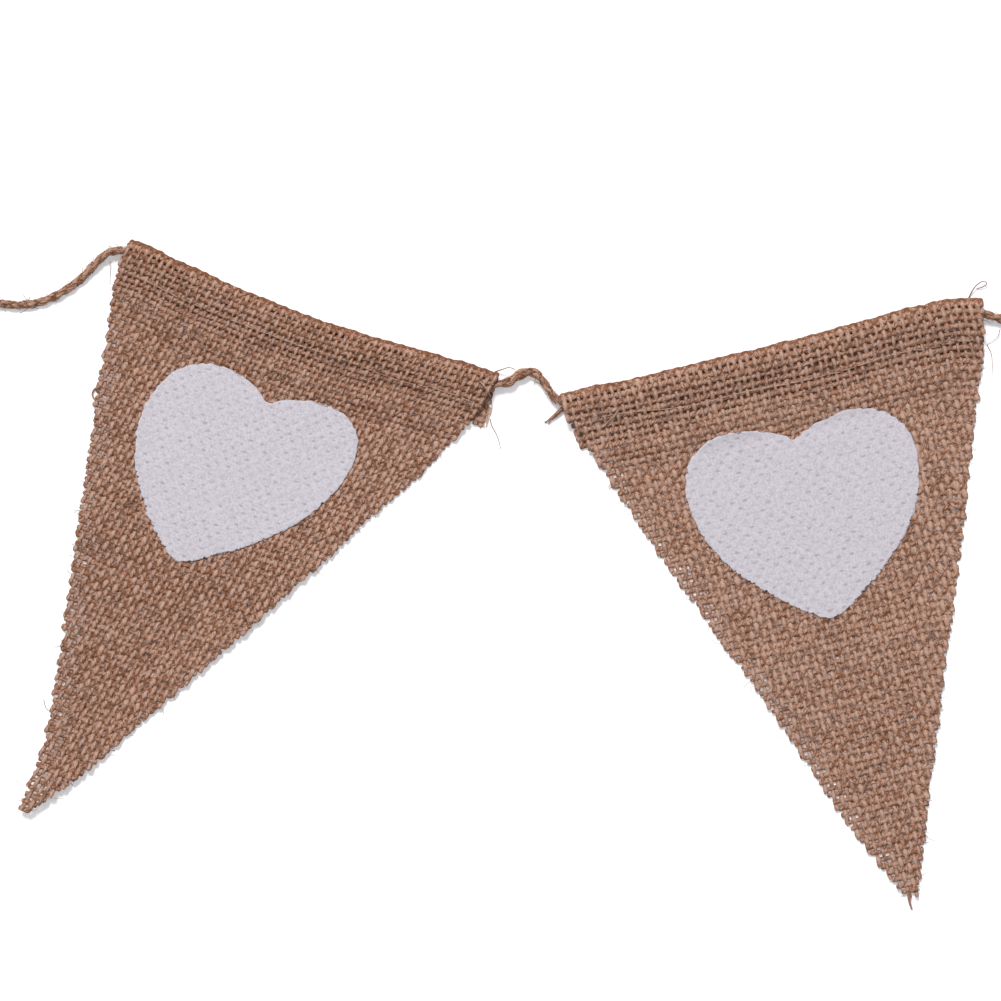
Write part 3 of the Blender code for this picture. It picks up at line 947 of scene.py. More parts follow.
class Weave:
    """Where every yarn of a pennant lies, along its threads."""

    def __init__(self, name, seed):
        pennant = pennants[name]
        cut = pennant.cut
        self.pennant = pennant
        self.heart_print = prints[name]
        self.tone = PENNANT_TONES[name]
        self.rng = np.random.default_rng(seed)
        self.frays = [np.array(stations, float).T * MM for stations in FRAYED_SIDES[name]]
        self.left_edge = frayed(pennant.left_edge, self.frays[0], -1)
        self.right_edge = frayed(pennant.right_edge, self.frays[1], 1)
        left, right = self.sides(0.0)
        self.warp_pitch = cut.warp_pitch
        end = right - LAST_WARP_ROOM * cut.warp_pitch
        self.warps = np.arange(left + 0.5 * cut.warp_pitch, end, cut.warp_pitch)
        first, last = cut.weft_pitches
        strip_end = float(pennant.strip_end(0.5))
        below = np.arange(-0.5 * first, strip_end, -first)[::-1]
        rows = [0.5 * first]
        while rows[-1] < pennant.length - FOLD_DEPTH:
            share = rows[-1] / pennant.length
            rows.append(rows[-1] + first + (last - first) * share)
        self.wefts = np.concatenate([below, rows[:-1]])

    def sides(self, m):
        """Where the weft ends at both sides. Behind the fold the fraying is the same as in front of it."""
        left, right = self.pennant.sides(FOLD_DEPTH + np.maximum(m, 0.0))
        from_fold = np.where(np.asarray(m) < 0, np.maximum(-FOLD_LENGTH - m, 0.0), m)
        return left - np.interp(from_fold, *self.frays[0]), right + np.interp(from_fold, *self.frays[1])

    def warp_number(self, s):
        return (s - self.warps[0]) / self.warp_pitch

    def weft_number(self, m):
        number = np.interp(m, self.wefts, np.arange(len(self.wefts)))
        before = np.minimum(m - self.wefts[0], 0.0) / (self.wefts[1] - self.wefts[0])
        after = np.maximum(m - self.wefts[-1], 0.0) / (self.wefts[-1] - self.wefts[-2])
        return number + before + after

    def warp_end(self, s):
        """m where a warp meets the pennant's cut side."""
        left, right = self.left_edge, self.right_edge
        if s < left[-1, 0]:
            return float(np.interp(s, left[:, 0], left[:, 1])) - FOLD_DEPTH
        return float(np.interp(-s, -right[:, 0], right[:, 1])) - FOLD_DEPTH


weaves = {name: Weave(name, WEAVE_SEED + number) for number, name in enumerate(pennants)}
for name, weave in weaves.items():
    print(f"{name}: {len(weave.warps)} warps and {len(weave.wefts)} wefts")

# %% [markdown]
# ## Warps and wefts as strands
#
# A yarn needs few rings, because its way over and under is a plain wave: four for each yarn that it
# crosses, and half as many where paint hides it. Its height, tone and radius are all worked out at those
# rings. A warp runs from the strip's cut edge round the fold and down to the cut side, and a weft from one
# side to the other.

# %% Warps and wefts
NO_RING_NEAR_END = 0.1
SHORTEST_WARP = 2
FEWEST_WEFT_RINGS = 4
# How far yarns end past the cut, in millimetres: warps at the strip and at the sides, and wefts.
STRIP_FRAY = (-0.3, 0.5)
WARP_FRAY = (-0.4, 0.3)
WEFT_FRAY = (-0.15, 0.2)


def crossings(start, end):
    """Yarn or row numbers to put rings at, from start to end, with both ends."""
    steps = np.arange(math.ceil(start * RINGS_PER_CROSSING), math.floor(end * RINGS_PER_CROSSING) + 1)
    numbers = steps / RINGS_PER_CROSSING
    numbers = numbers[(numbers > start + NO_RING_NEAR_END) & (numbers < end - NO_RING_NEAR_END)]
    return np.concatenate([[start], numbers, [end]])


def thinned(at, printed, *columns):
    """The columns without every second ring under the print, where the paint hides a yarn's finer shape."""
    keep = ~printed | (at * RINGS_PER_CROSSING % 2 == 0)
    keep[0] = keep[-1] = True
    return [column[keep] for column in columns]


def make_warps(weave):
    """The yarns down the pennant, from the strip's cut edge round the fold to the cut side."""
    pennant, rng, strands = weave.pennant, weave.rng, []
    rows = np.arange(len(weave.wefts))
    first_pitch, last_pitch = pennant.cut.weft_pitches
    for number, s in enumerate(weave.warps):
        strip_end = float(pennant.strip_end(float(pennant.across(s, FOLD_DEPTH))))
        left, right = weave.sides(strip_end)
        behind = strip_end if left < s < right else -FOLD_LENGTH
        start = weave.weft_number(behind - rng.uniform(*STRIP_FRAY) * MM)
        end = weave.weft_number(weave.warp_end(s) + rng.uniform(*WARP_FRAY) * MM)
        if end - start < SHORTEST_WARP:
            continue
        at = crossings(float(start), float(end))
        m = np.interp(at, rows, weave.wefts)
        m += np.minimum(at, 0) * first_pitch
        m += np.maximum(at - rows[-1], 0) * last_pitch
        printed = weave.heart_print.contains(s + 0 * m, m)
        at, m, printed = thinned(at, printed, at, m, printed)
        aside = s + YARN_WANDER * drift(rng, m, WANDER_REACH)
        wave = np.cos(math.pi * (at + number))
        lift = yarn_lift(WARP_CRIMP, wave, m, printed) + WARP_PROUD * left_by_paint(printed)
        tone = weave.tone + yarn_tone(rng, m, m) + WARP_PALER + CROSSING_PAINTED_SHADING * wave
        radius = yarn_radius(rng, m, at, m, WARPS_NARROWER, s - weave.sides(m)[0])
        strands.append(Strand(lay_yarn(pennant, aside, m, lift, radius), radius, tone, YARN_TWIST))
    return strands


def make_wefts(weave):
    """The yarns across the pennant, row by row from the strip's cut edge to the point."""
    pennant, rng, strands = weave.pennant, weave.rng, []
    ragged = [RAGGED_SIDE * drift(rng, weave.wefts, RAGGED_REACH) for _ in range(2)]
    for number, m in enumerate(weave.wefts):
        left, right = weave.sides(m)
        left += ragged[0][number] - rng.uniform(*WEFT_FRAY) * MM
        right += ragged[1][number] + rng.uniform(*WEFT_FRAY) * MM
        at = crossings(float(weave.warp_number(left)), float(weave.warp_number(right)))
        if len(at) < FEWEST_WEFT_RINGS:
            continue
        s = weave.warps[0] + at * weave.warp_pitch
        printed = weave.heart_print.contains(s, m + 0 * s)
        at, s, printed = thinned(at, printed, at, s, printed)
        up_down = m + YARN_WANDER * drift(rng, s, WANDER_REACH)
        wave = -np.cos(math.pi * (at + number))
        lift = yarn_lift(WEFT_CRIMP, wave, m, printed)
        tone = weave.tone + yarn_tone(rng, s, m) - CROSSING_PAINTED_SHADING * wave
        radius = yarn_radius(rng, s, at, m, WEFTS_NARROWER, s - left)
        strands.append(Strand(lay_yarn(pennant, s, up_down, lift, radius), radius, tone, YARN_TWIST))
    return strands


print("rings between crossings 0 and 1 are at", crossings(0.0, 1.0).tolist())

# %% [markdown]
# ## Both pennants, woven
#
# The warps and the wefts of a pennant are two pieces, because each has its own width and its own share of
# painted pale crests. A yarn's width is a share of its pitch, which leaves the small gaps. Together they
# stand for the whole packed cloth, and its imported part is hidden.

# %% Weave both pennants
cloth_pieces = {}
for name, weave in weaves.items():
    warp_width = WARP_COVER * weave.warp_pitch
    weft_width = WEFT_COVER * sum(weave.pennant.cut.weft_pitches) / 2
    # The crest share paints highlight on each yarn's crests and shade on its flanks.
    cloth_pieces[name] = [
        make_strands(f"{name}_{way}", strands, width, YARN_HEIGHT, YARN_SHAPE, hessian, crest)
        for way, strands, width, crest in (
            ("warp", make_warps(weave), warp_width, WARP_CREST_PAINTED_LIGHT),
            ("weft", make_wefts(weave), weft_width, WEFT_CREST_PAINTED_LIGHT),
        )
    ]
    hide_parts(name)

# %% [markdown]
# ## The paint's surface
#
# Fabric paint dries to a thin matt film, pale grey with a hint of pink. It closes the gaps between the
# yarns, but the weave still shows: where a weft yarn is on top the film has sunk a little, and a small grey
# dash of painted shade marks that hollow at every second crossing. The film carries each vertex's warp and
# weft numbers as an attribute, so the material can find those crossings itself and the dashes stay sharp
# however coarse the mesh is.

# %% White print material
WEAVE_ATTRIBUTE = "weave"
FILM_COLOUR = (0.574, 0.540, 0.584, 1.0)
FILM_SHADE = (0.455, 0.423, 0.463, 1.0)
# The dashes' colour is painted shade.
DASH_PAINTED_SHADE = (0.330, 0.306, 0.342, 1.0)
WOBBLE_SCALE = 900.0
WOBBLE = (0.7, 0.4, 0.0)
DASH_NARROWING = 1.4
DASH_STARTS, DASH_FULL = -0.05, -0.95
DASH_NOISE_SCALE = 330.0
DASH_NOISE_RANGE = (0.34, 0.66)
DASH_FAINTEST, DASH_STRONGEST = 0.20, 0.85
DASH_DEPTH = 1.2
MOTTLE_SCALE = 1600.0
MOTTLE_RANGE = (0.38, 0.66)
FILM_ROUGHNESS = 0.7
FILM_SHINE = 0.3
FILM_BUMP = 0.5
FILM_BUMP_HEIGHT = 0.08 * MM


def print_material():
    """Paint with a fine mottle, and a dash of painted shade, of uneven strength, wherever a weft yarn is on
    top.
    """
    material, tree, shader = new_material("white_print")
    numbers = add_node(tree, "ShaderNodeAttribute", attribute_name=WEAVE_ATTRIBUTE).outputs["Vector"]
    place = add_node(tree, "ShaderNodeTexCoord").outputs["Object"]
    wobble = noise(tree, place, WOBBLE_SCALE, 1.0).outputs["Color"]
    shift = vector_math(tree, "MULTIPLY", vector_math(tree, "SUBTRACT", wobble, (0.5, 0.5, 0.5)), WOBBLE)
    split = add_node(tree, "ShaderNodeSeparateXYZ", {0: vector_math(tree, "ADD", numbers, shift)})
    across = math_node(tree, "COSINE", math_node(tree, "MULTIPLY", split.outputs["X"], math.pi))
    down = math_node(tree, "MULTIPLY", split.outputs["Y"], math.pi)
    weft_on_top = math_node(tree, "MULTIPLY", across, math_node(tree, "COSINE", down))
    narrow = math_node(tree, "POWER", math_node(tree, "SINE", down), 2.0)
    hollow = math_node(tree, "ADD", weft_on_top, math_node(tree, "MULTIPLY", narrow, DASH_NARROWING))
    dash = map_range(tree, hollow, DASH_STARTS, DASH_FULL)
    uneven = noise(tree, place, DASH_NOISE_SCALE, 0.0).outputs["Fac"]
    amount = map_range(tree, uneven, *DASH_NOISE_RANGE, DASH_FAINTEST, DASH_STRONGEST)
    # The dash is painted shade in the film's hollows.
    dash_share = math_node(tree, "MULTIPLY", dash, amount)
    mottle = noise(tree, place, MOTTLE_SCALE, 3.0).outputs["Fac"]
    colour = mixed(tree, map_range(tree, mottle, *MOTTLE_RANGE), FILM_COLOUR, FILM_SHADE)
    set_surface(tree, shader, mixed(tree, dash_share, colour, DASH_PAINTED_SHADE), FILM_ROUGHNESS, FILM_SHINE)
    height = math_node(tree, "SUBTRACT", mottle, math_node(tree, "MULTIPLY", dash_share, DASH_DEPTH))
    add_relief(tree, shader, height, FILM_BUMP, FILM_BUMP_HEIGHT)
    return material


white_print = print_material()
print("the print's material has", len(white_print.node_tree.nodes), "nodes")

# %% [markdown]
# ## The print's edge
#
# The print's edge isn't clean. It waves with the yarns all the way round, and along the lower sides it
# crossed open gaps, where the paint ran in and left tiny bites. Each heart has one larger nick, where the
# paint didn't take. So a second outline is made from the clean one, moved inwards by all of these at each
# of its points.

# %% The uneven edge of the print
FILM_SEED = 21
EDGE_WAVE = 0.18 * MM
EDGE_WAVE_REACH = 1.2 * MM
LOWER_SIDE_EASE = 8 * MM
BITE_DEPTH = 0.80 * MM
BITE_SPACING = 2.3 * MM
BITE_SHIFT = 0.4
BITE_WIDTH = 0.5 * MM
BITE_SIZES = (0.1, 1.0)
NICK_DEPTH = 1.1 * MM
NICK_REACH = 3.0 * MM
NICK_ENDS = 1.4


def bitten_outline(heart_print, rng):
    """The outline with its small waves, and bites along its lower sides."""
    outline = heart_print.outline
    steps = np.linalg.norm(np.diff(outline, axis=0, append=outline[:1]), axis=1)
    along = np.cumsum(steps)
    inwards = unit(np.roll(outline, 1, axis=0) - np.roll(outline, -1, axis=0))[:, ::-1] * (-1, 1)
    centre = outline.mean(axis=0)
    inwards *= np.sign(np.sum(inwards * (centre - outline), axis=1))[:, None]
    depth = EDGE_WAVE * (drift(rng, along, EDGE_WAVE_REACH) + 1)
    lower = smooth_step((outline[:, 1] - centre[1]) / LOWER_SIDE_EASE + 0.5)
    for place in np.arange(0.0, along[-1], BITE_SPACING):
        middle = place + rng.uniform(-BITE_SHIFT, BITE_SHIFT) * BITE_SPACING
        bite = BITE_DEPTH * rng.uniform(*BITE_SIZES)
        depth += lower * bite * smooth_step(1 - np.abs(along - middle) / BITE_WIDTH)
    from_nick = np.linalg.norm(outline - heart_print.nick, axis=1)
    depth += NICK_DEPTH * smooth_step(NICK_ENDS - from_nick / NICK_REACH)
    return outline + inwards * depth[:, None]


film_rngs = {name: np.random.default_rng(FILM_SEED + number) for number, name in enumerate(weaves)}
uneven_outlines = {name: bitten_outline(prints[name], rng) for name, rng in film_rngs.items()}
for name, outline in uneven_outlines.items():
    moved = np.linalg.norm(outline - prints[name].outline, axis=1)
    print(f"{name}: the print's edge is moved by up to {moved.max() / MM:.1f} mm")

# %% [markdown]
# ## The printed film
#
# The film starts as a flat grid in the cloth's coordinates. Faces outside the clean heart are deleted,
# which leaves a stepped border. Each border vertex looks for the nearest point of the clean outline and
# then goes to the same point of the uneven one. Every vertex is lifted to the cloth's surface, a little
# lower where a weft yarn is on top, and Solidify gives the film its thickness.

# %% Print the hearts
FILM_CELL = 0.55 * MM
FILM_THICKNESS = 0.25 * MM
FILM_HEIGHT = 0.86 * MM
FILM_RELIEF = 0.04 * MM


def cloth_grid(outline):
    """A grid of cells over the outline's box, with (s, m) as its x and y."""
    low, high = outline.min(axis=0) - FILM_CELL, outline.max(axis=0) + FILM_CELL
    columns, rows = np.ceil((high - low) / FILM_CELL).astype(int)
    film = bmesh.new()
    bmesh.ops.create_grid(film, x_segments=int(columns), y_segments=int(rows), size=0.5)
    bmesh.ops.scale(film, vec=(*(high - low), 1.0), verts=film.verts)
    bmesh.ops.translate(film, vec=(*((low + high) / 2), 0.0), verts=film.verts)
    return film


def trim_to_outline(film, heart_print, outline):
    """Deletes what lies outside the heart and moves the border to the uneven outline."""
    centres = np.array([face.calc_center_median()[:2] for face in film.faces])
    covered = heart_print.contains(centres[:, 0], centres[:, 1])
    outside = [face for face, inside in zip(film.faces, covered) if not inside]
    bmesh.ops.delete(film, geom=outside, context="FACES")
    nearest = KDTree(len(outline))
    for number, place in enumerate(heart_print.outline):
        nearest.insert((*place, 0.0), number)
    nearest.balance()
    for vertex in film.verts:
        if vertex.is_boundary:
            vertex.co = (*outline[nearest.find(vertex.co)[1]], 0.0)


def make_film(name, weave, outline):
    """The finished heart."""
    film = cloth_grid(outline)
    trim_to_outline(film, weave.heart_print, outline)
    s, m = np.array([vertex.co[:2] for vertex in film.verts]).T
    warp_number, weft_number = weave.warp_number(s), weave.weft_number(m)
    warp_on_top = np.cos(math.pi * warp_number) * np.cos(math.pi * weft_number)
    height = FILM_HEIGHT + FILM_RELIEF * warp_on_top
    places = weave.pennant.places(s, m) + weave.pennant.outwards(s, m) * height[:, None]
    for vertex, place in zip(film.verts, places):
        vertex.co = place
    film.normal_update()
    film.faces.ensure_lookup_table()
    if film.faces[0].normal.z < 0:
        bmesh.ops.reverse_faces(film, faces=film.faces)
    mesh = bpy.data.meshes.new(name)
    film.to_mesh(mesh)
    film.free()
    numbers = np.column_stack([warp_number, weft_number, np.zeros(len(s))])
    mesh.attributes.new(WEAVE_ATTRIBUTE, "FLOAT_VECTOR", "POINT").data.foreach_set("vector", numbers.ravel())
    piece = add_piece(name, mesh, white_print)
    thickness = piece.modifiers.new("film_thickness", "SOLIDIFY")
    thickness.thickness = FILM_THICKNESS
    thickness.offset = -1.0
    print(f"{name}: {len(mesh.polygons)} cells")
    return piece


for name, weave in weaves.items():
    film_name = name.replace("pennant", "heart")
    cloth_pieces[name].append(make_film(film_name, weave, uneven_outlines[name]))

# %% [markdown]
# ## The twine's plies
#
# The two plies wind round the twine's line half a turn apart. Each is a strand like the yarns, only round,
# and its own fibres wind the other way, which is what keeps real twine from untwisting.

# %% Twist the two plies
PLY_SEED = 5
PLY_DIAMETER = 1.62 * MM
PLY_OFFSET = 0.50 * MM
PLY_TURN = 9.5 * MM
PLY_TWIST = 1 / (9 * MM)
PLY_SIDES = 12
PLY_SLUBS, PLY_SLUB_REACH = 0.07, 5 * MM
PLY_TONES, PLY_TONE_REACH = 0.04, 8 * MM
# Where the twine has untwisted: the place along the row, how far it reaches, and how much wider it is there.
Opening = namedtuple("Opening", "x reach wider")
OPENINGS = [Opening(0.0050, 0.0090, 0.50), Opening(0.1560, 0.0060, 0.60)]

jute = fibre_material(
    "jute_twine",
    dark=(0.11, 0.044, 0.022, 1.0),
    middle=(0.30, 0.150, 0.095, 1.0),
    light=(0.46, 0.280, 0.200, 1.0),
    accent=(0.42, 0.17, 0.07, 1.0),
    roughness=0.85,
    bump=1.0,
)


def across_line(line):
    """Two unit vectors square to a line at each of its points."""
    along = unit(np.gradient(line, axis=0))
    aside = unit(np.cross(along, (0.0, 0.0, 1.0)))
    return aside, np.cross(aside, along)


def make_plies(line, rng):
    """Both plies. Where the twine is untwisted they lie side by side, wider and flatter."""
    aside, up = across_line(line)
    along = np.arange(len(line)) * LINE_STEP
    wider = np.zeros(len(line))
    for opening in OPENINGS:
        wider += opening.wider * smooth_step(1 - np.abs(line[:, 0] - opening.x) / opening.reach)
    strands = []
    for phase in (0.0, math.pi):
        angle = phase + 2 * math.pi * along / PLY_TURN
        level = (PLY_OFFSET * (1 + wider) * np.cos(angle))[:, None] * aside
        upright = (PLY_OFFSET * (1 - wider / 2) * np.sin(angle))[:, None] * up
        radius = 1 + PLY_SLUBS * drift(rng, along, PLY_SLUB_REACH) + wider / 2
        tone = PLY_TONES * drift(rng, along, PLY_TONE_REACH)
        strands.append(Strand(line + level + upright, radius, tone, PLY_TWIST))
    return strands


plies = make_plies(twine_line, np.random.default_rng(PLY_SEED))
twine = make_round_strands("twine_plies", plies, PLY_DIAMETER, PLY_SIDES, jute)
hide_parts("twine")

# %% [markdown]
# ## Casing stitches
#
# A row of pale machine stitches, about 10 mm below the fold, holds each casing shut. On the front every
# stitch is a short straight thread that dips into the cloth at both of its ends. The row wanders a little,
# so it is a smooth line through a few distances down from the fold.

# %% Sew the casings
STITCH_SEED = 31
THREAD_DIAMETER = 0.34 * MM
THREAD_HEIGHT = 0.60 * MM
THREAD_TWIST = 1 / (1.5 * MM)
THREAD_SIDES = 5
STITCH_LENGTH = 4.2 * MM
STITCH_SIZES = (0.8, 1.1)
STITCH_GAP = 0.45 * MM
STITCH_DIP = 0.55 * MM
STITCH_DIP_POWER = 6
STITCH_RINGS = 9
STITCH_SKEW = 0.12 * MM
STITCH_TONES = 0.05
# Shares across the pennant, with distances down from the fold in metres.
STITCH_ROWS = {
    "pennant_left": [(0.03, 0.0090), (0.20, 0.0093), (0.47, 0.0089), (0.60, 0.0085), (0.80, 0.0102),
                     (0.88, 0.0095), (0.96, 0.0100)],
    "pennant_right": [(0.06, 0.0085), (0.13, 0.0090), (0.27, 0.0113), (0.40, 0.0110), (0.53, 0.0118),
                      (0.66, 0.0121), (0.76, 0.0114), (0.88, 0.0122), (0.96, 0.0117)],
}

thread = fibre_material(
    "sewing_thread",
    dark=(0.28, 0.15, 0.10, 1.0),
    middle=(0.46, 0.30, 0.22, 1.0),
    light=(0.62, 0.46, 0.37, 1.0),
    accent=(0.52, 0.36, 0.27, 1.0),
    roughness=0.6,
    bump=0.5,
)


def make_stitches(pennant, row, rng):
    """One row of stitches, from its first share to its last."""
    shares, downs = zip(*row)
    left, right = pennant.sides(downs[0])
    start, end = left + (right - left) * shares[0], left + (right - left) * shares[-1]
    dip = STITCH_DIP * np.linspace(-1.0, 1.0, STITCH_RINGS) ** STITCH_DIP_POWER
    strands = []
    while start < end:
        length = STITCH_LENGTH * rng.uniform(*STITCH_SIZES)
        s = np.linspace(start, start + length, STITCH_RINGS)
        m = smooth_through(shares, downs, (s - left) / (right - left)) - FOLD_DEPTH
        m += np.linspace(-1, 1, STITCH_RINGS) * rng.normal(0, STITCH_SKEW)
        places = pennant.places(s, m) + pennant.outwards(s, m) * (THREAD_HEIGHT - dip)[:, None]
        strands.append(Strand(places, 1.0, rng.normal(0, STITCH_TONES), THREAD_TWIST))
        start += length + STITCH_GAP
    return strands


stitch_rng = np.random.default_rng(STITCH_SEED)
stitches = []
for name, row in STITCH_ROWS.items():
    stitches += make_stitches(pennants[name], row, stitch_rng)
make_round_strands("casing_stitches", stitches, THREAD_DIAMETER, THREAD_SIDES, thread)

# %% [markdown]
# ## Loose ends
#
# Cut hessian sheds yarns, and nobody trims the ends of the stitching. Each loose end is a smooth line
# through a few places across the row, in millimetres, with its height above whatever lies under it. The
# helper finds that: the tops of the yarns where there is cloth, otherwise the table.

# %% Lay the loose ends
YARN_TOP = 0.75 * MM
LOOSE_STEP = 0.6 * MM
LOOSE_SIDES = 5
FEWEST_LOOSE_RINGS = 6
SETTLE = 5
TAPER = 0.55
# A loose end's width and route are in millimetres.
LooseEnd = namedtuple("LooseEnd", "width tone route")
LOOSE_THREADS = [
    LooseEnd(0.42, 0.10, [(-7.6, 59.0, 0.1), (-6.2, 57.5, 0.5), (-4.6, 55.0, 0.6), (-3.9, 51.5, 0.6),
                          (-4.3, 48.5, 0.2)]),
    LooseEnd(0.90, 0.15, [(-4.9, 51.0, -0.4), (-5.6, 47.8, -0.6), (-7.0, 45.4, 0.2)]),
    LooseEnd(0.80, 0.18, [(-4.4, 51.2, -0.4), (-5.0, 47.8, -0.5), (-5.7, 45.0, 0.2)]),
    LooseEnd(0.70, 0.12, [(-5.5, 50.4, -0.3), (-6.5, 47.5, -0.4), (-6.3, 44.8, 0.2)]),
    LooseEnd(0.40, 0.15, [(-5.0, 49.0, -0.3), (-6.2, 46.9, 0.2), (-7.6, 44.4, 0.1)]),
    LooseEnd(0.30, 0.05, [(153.3, 75.2, 1.6), (152.7, 73.0, 0.9), (149.3, 70.5, 0.3)]),
    LooseEnd(0.30, 0.0, [(149.6, 70.5, 0.3), (150.8, 68.0, 0.2), (151.2, 64.5, 0.2), (151.4, 60.9, 0.2)]),
    LooseEnd(0.36, 0.1, [(35.2, 50.4, 0.2), (34.0, 48.3, 0.2), (32.7, 45.7, 0.1)]),
    LooseEnd(0.36, 0.1, [(35.2, 50.4, 0.2), (33.0, 47.6, 0.3), (30.4, 45.2, 0.1)]),
    LooseEnd(0.25, 0.0, [(-122.0, 96.3, 1.6), (-122.2, 92.8, 0.4), (-122.3, 89.4, 0.2)]),
    LooseEnd(0.30, 0.1, [(11.3, 62.0, 3.0), (9.8, 60.3, 1.6), (9.1, 58.1, 0.3)]),
]
LOOSE_YARNS = [
    LooseEnd(0.45, 0.0, [(-2.9, 62.2, 0.2), (-0.5, 62.9, 2.6), (1.4, 63.4, 3.2), (3.3, 62.8, 2.6)]),
    LooseEnd(1.10, -0.05, [(19.5, 51.9, 0.0), (17.2, 50.4, 0.9), (15.2, 48.6, 0.8), (13.4, 47.0, 0.6)]),
    LooseEnd(1.00, 0.03, [(19.5, 51.2, 0.0), (17.4, 49.6, 0.9), (15.3, 47.8, 0.7), (12.4, 46.5, 0.5)]),
    LooseEnd(0.60, 0.0, [(19.5, 51.6, 0.4), (17.2, 50.1, 1.5), (15.0, 48.0, 1.2), (13.6, 45.9, 0.4)]),
    LooseEnd(0.30, -0.25, [(-4.4, 47.6, 0.0), (-4.0, 45.6, 0.3), (-2.9, 43.6, 0.2), (-1.8, 41.0, 0.1),
                           (-1.2, 38.3, 0.1)]),
    LooseEnd(0.45, -0.1, [(143.7, 84.8, 0.1), (145.2, 87.9, 1.5), (146.2, 89.1, 1.8), (148.6, 90.1, 1.6),
                          (149.3, 89.4, 1.2), (148.3, 88.5, 0.8), (146.2, 87.9, 0.5)]),
    LooseEnd(0.75, 0.05, [(-125.0, 57.6, 0.3), (-127.2, 56.6, 0.5), (-127.7, 55.0, 0.5), (-126.6, 53.4, 0.4),
                          (-124.6, 53.2, 0.3)]),
    LooseEnd(0.25, 0.0, [(-142.8, -39.5, 0.3), (-141.8, -42.3, 0.3), (-140.3, -42.9, 0.2)]),
    LooseEnd(1.20, 0.0, [(124.8, -98.2, 0.3), (125.3, -101.2, 0.5), (126.2, -104.3, 0.4)]),
]


def ground(x, y):
    """The height that something laid over the row rests at."""
    height = np.zeros(len(x))
    for pennant in pennants.values():
        s, m = pennant.cloth_at(np.column_stack([x, y]))
        across = pennant.across(s, np.maximum(m, 0.0) + FOLD_DEPTH)
        covered = (across > 0) & (across < 1) & (m > -FOLD_DEPTH) & (m < pennant.length - FOLD_DEPTH)
        top = pennant.places(s, np.maximum(m, 0.0))[:, 2] + YARN_TOP
        height = np.maximum(height, np.where(covered, top, 0.0))
    return height


def laid_end(end):
    """A loose end as a strand. It settles over what it crosses instead of following every step."""
    route = np.array(end.route) * MM
    length = np.linalg.norm(np.diff(route, axis=0), axis=1).sum()
    line = curve_through(route, max(FEWEST_LOOSE_RINGS, round(length / LOOSE_STEP)))
    below = ground(line[:, 0], line[:, 1])
    below = np.convolve(np.pad(below, SETTLE // 2, mode="edge"), np.ones(SETTLE) / SETTLE, mode="valid")
    line[:, 2] += below
    line[:, 2] = np.maximum(line[:, 2], end.width * MM / 2)
    radius = end.width * np.linspace(1.0, TAPER, len(line))
    return Strand(line, radius, end.tone, THREAD_TWIST / 2)


for name, ends, material, slot in (
    ("loose_threads", LOOSE_THREADS, thread, "sewing_thread"),
    ("loose_yarns", LOOSE_YARNS, hessian, "hessian"),
):
    make_round_strands(name, [laid_end(end) for end in ends], MM, LOOSE_SIDES, material)

# %% [markdown]
# ## Loose fibres
#
# Up close hessian is hairy: short fibres stand off every yarn, lie across the weave and fringe the cut
# sides. Thousands are needed, so a fibre has only three sides and four short lengths, which is enough for
# it to bend. It is drawn in (s, m) like everything else, which keeps it on the surface.

# %% Fibres over the cloth and along its sides
FIBRE_DIAMETER = 0.14 * MM
FIBRE_SIDES = 3
FIBRE_RINGS = 5
FIBRES_ON_CLOTH = 650
FIBRES_ON_SIDES = 110
FIBRE_HEIGHT = 0.78 * MM
FIBRE_ARCH = 0.30 * MM
FIBRE_TONE = 0.02
FIBRE_TONES = 0.10
FIBRE_SIZES = (0.7, 1.3)
FIBRES_START = -1 * MM
FIBRES_END_BEFORE_POINT = 8 * MM
FIBRES_ACROSS = (0.02, 0.98)
FIBRE_LENGTHS = (1.5, 5.5)
FIBRE_HEADING_SPREAD = 0.55
FIBRE_CURL = 1.3
FRINGE_ENDS_BEFORE_POINT = 3 * MM
FRINGE_ROOT = 0.4 * MM
FRINGE_HEIGHTS = (-0.3, 0.5)
FRINGE_HEADING_SPREAD = 0.7
FRINGE_CURL = 1.6
# The shape and scale of a gamma draw, which gives many short lengths and a few long ones.
FRINGE_LENGTHS = (2.0, 0.55)
FRINGE_SHORTEST = 0.6 * MM


def fibre_lines(s, m, heading, length, curl, height):
    """Fibres in the cloth's coordinates, one a row, and their heights above its middle."""
    t = np.linspace(0.0, 1.0, FIBRE_RINGS)[None, :]
    angle = heading[:, None] + curl[:, None] * (t - 0.5)
    step = length[:, None] / (FIBRE_RINGS - 1)
    start = np.zeros((len(s), 1))
    along_s = np.concatenate([start, np.cumsum(np.cos(angle[:, 1:]) * step, axis=1)], axis=1)
    along_m = np.concatenate([start, np.cumsum(np.sin(angle[:, 1:]) * step, axis=1)], axis=1)
    return s[:, None] + along_s, m[:, None] + along_m, height[:, None] + FIBRE_ARCH * np.sin(math.pi * t)


def fibre_strands(pennant, s, m, height, rng, tone=FIBRE_TONE):
    """Strands at a height above the cloth's middle, none of them in the table."""
    places = pennant.places(s, m) + pennant.outwards(s, m) * height[..., None]
    places[..., 2] = np.maximum(places[..., 2], FIBRE_DIAMETER)
    return [Strand(line, rng.uniform(*FIBRE_SIZES), rng.normal(tone, FIBRE_TONES), 0.0) for line in places]


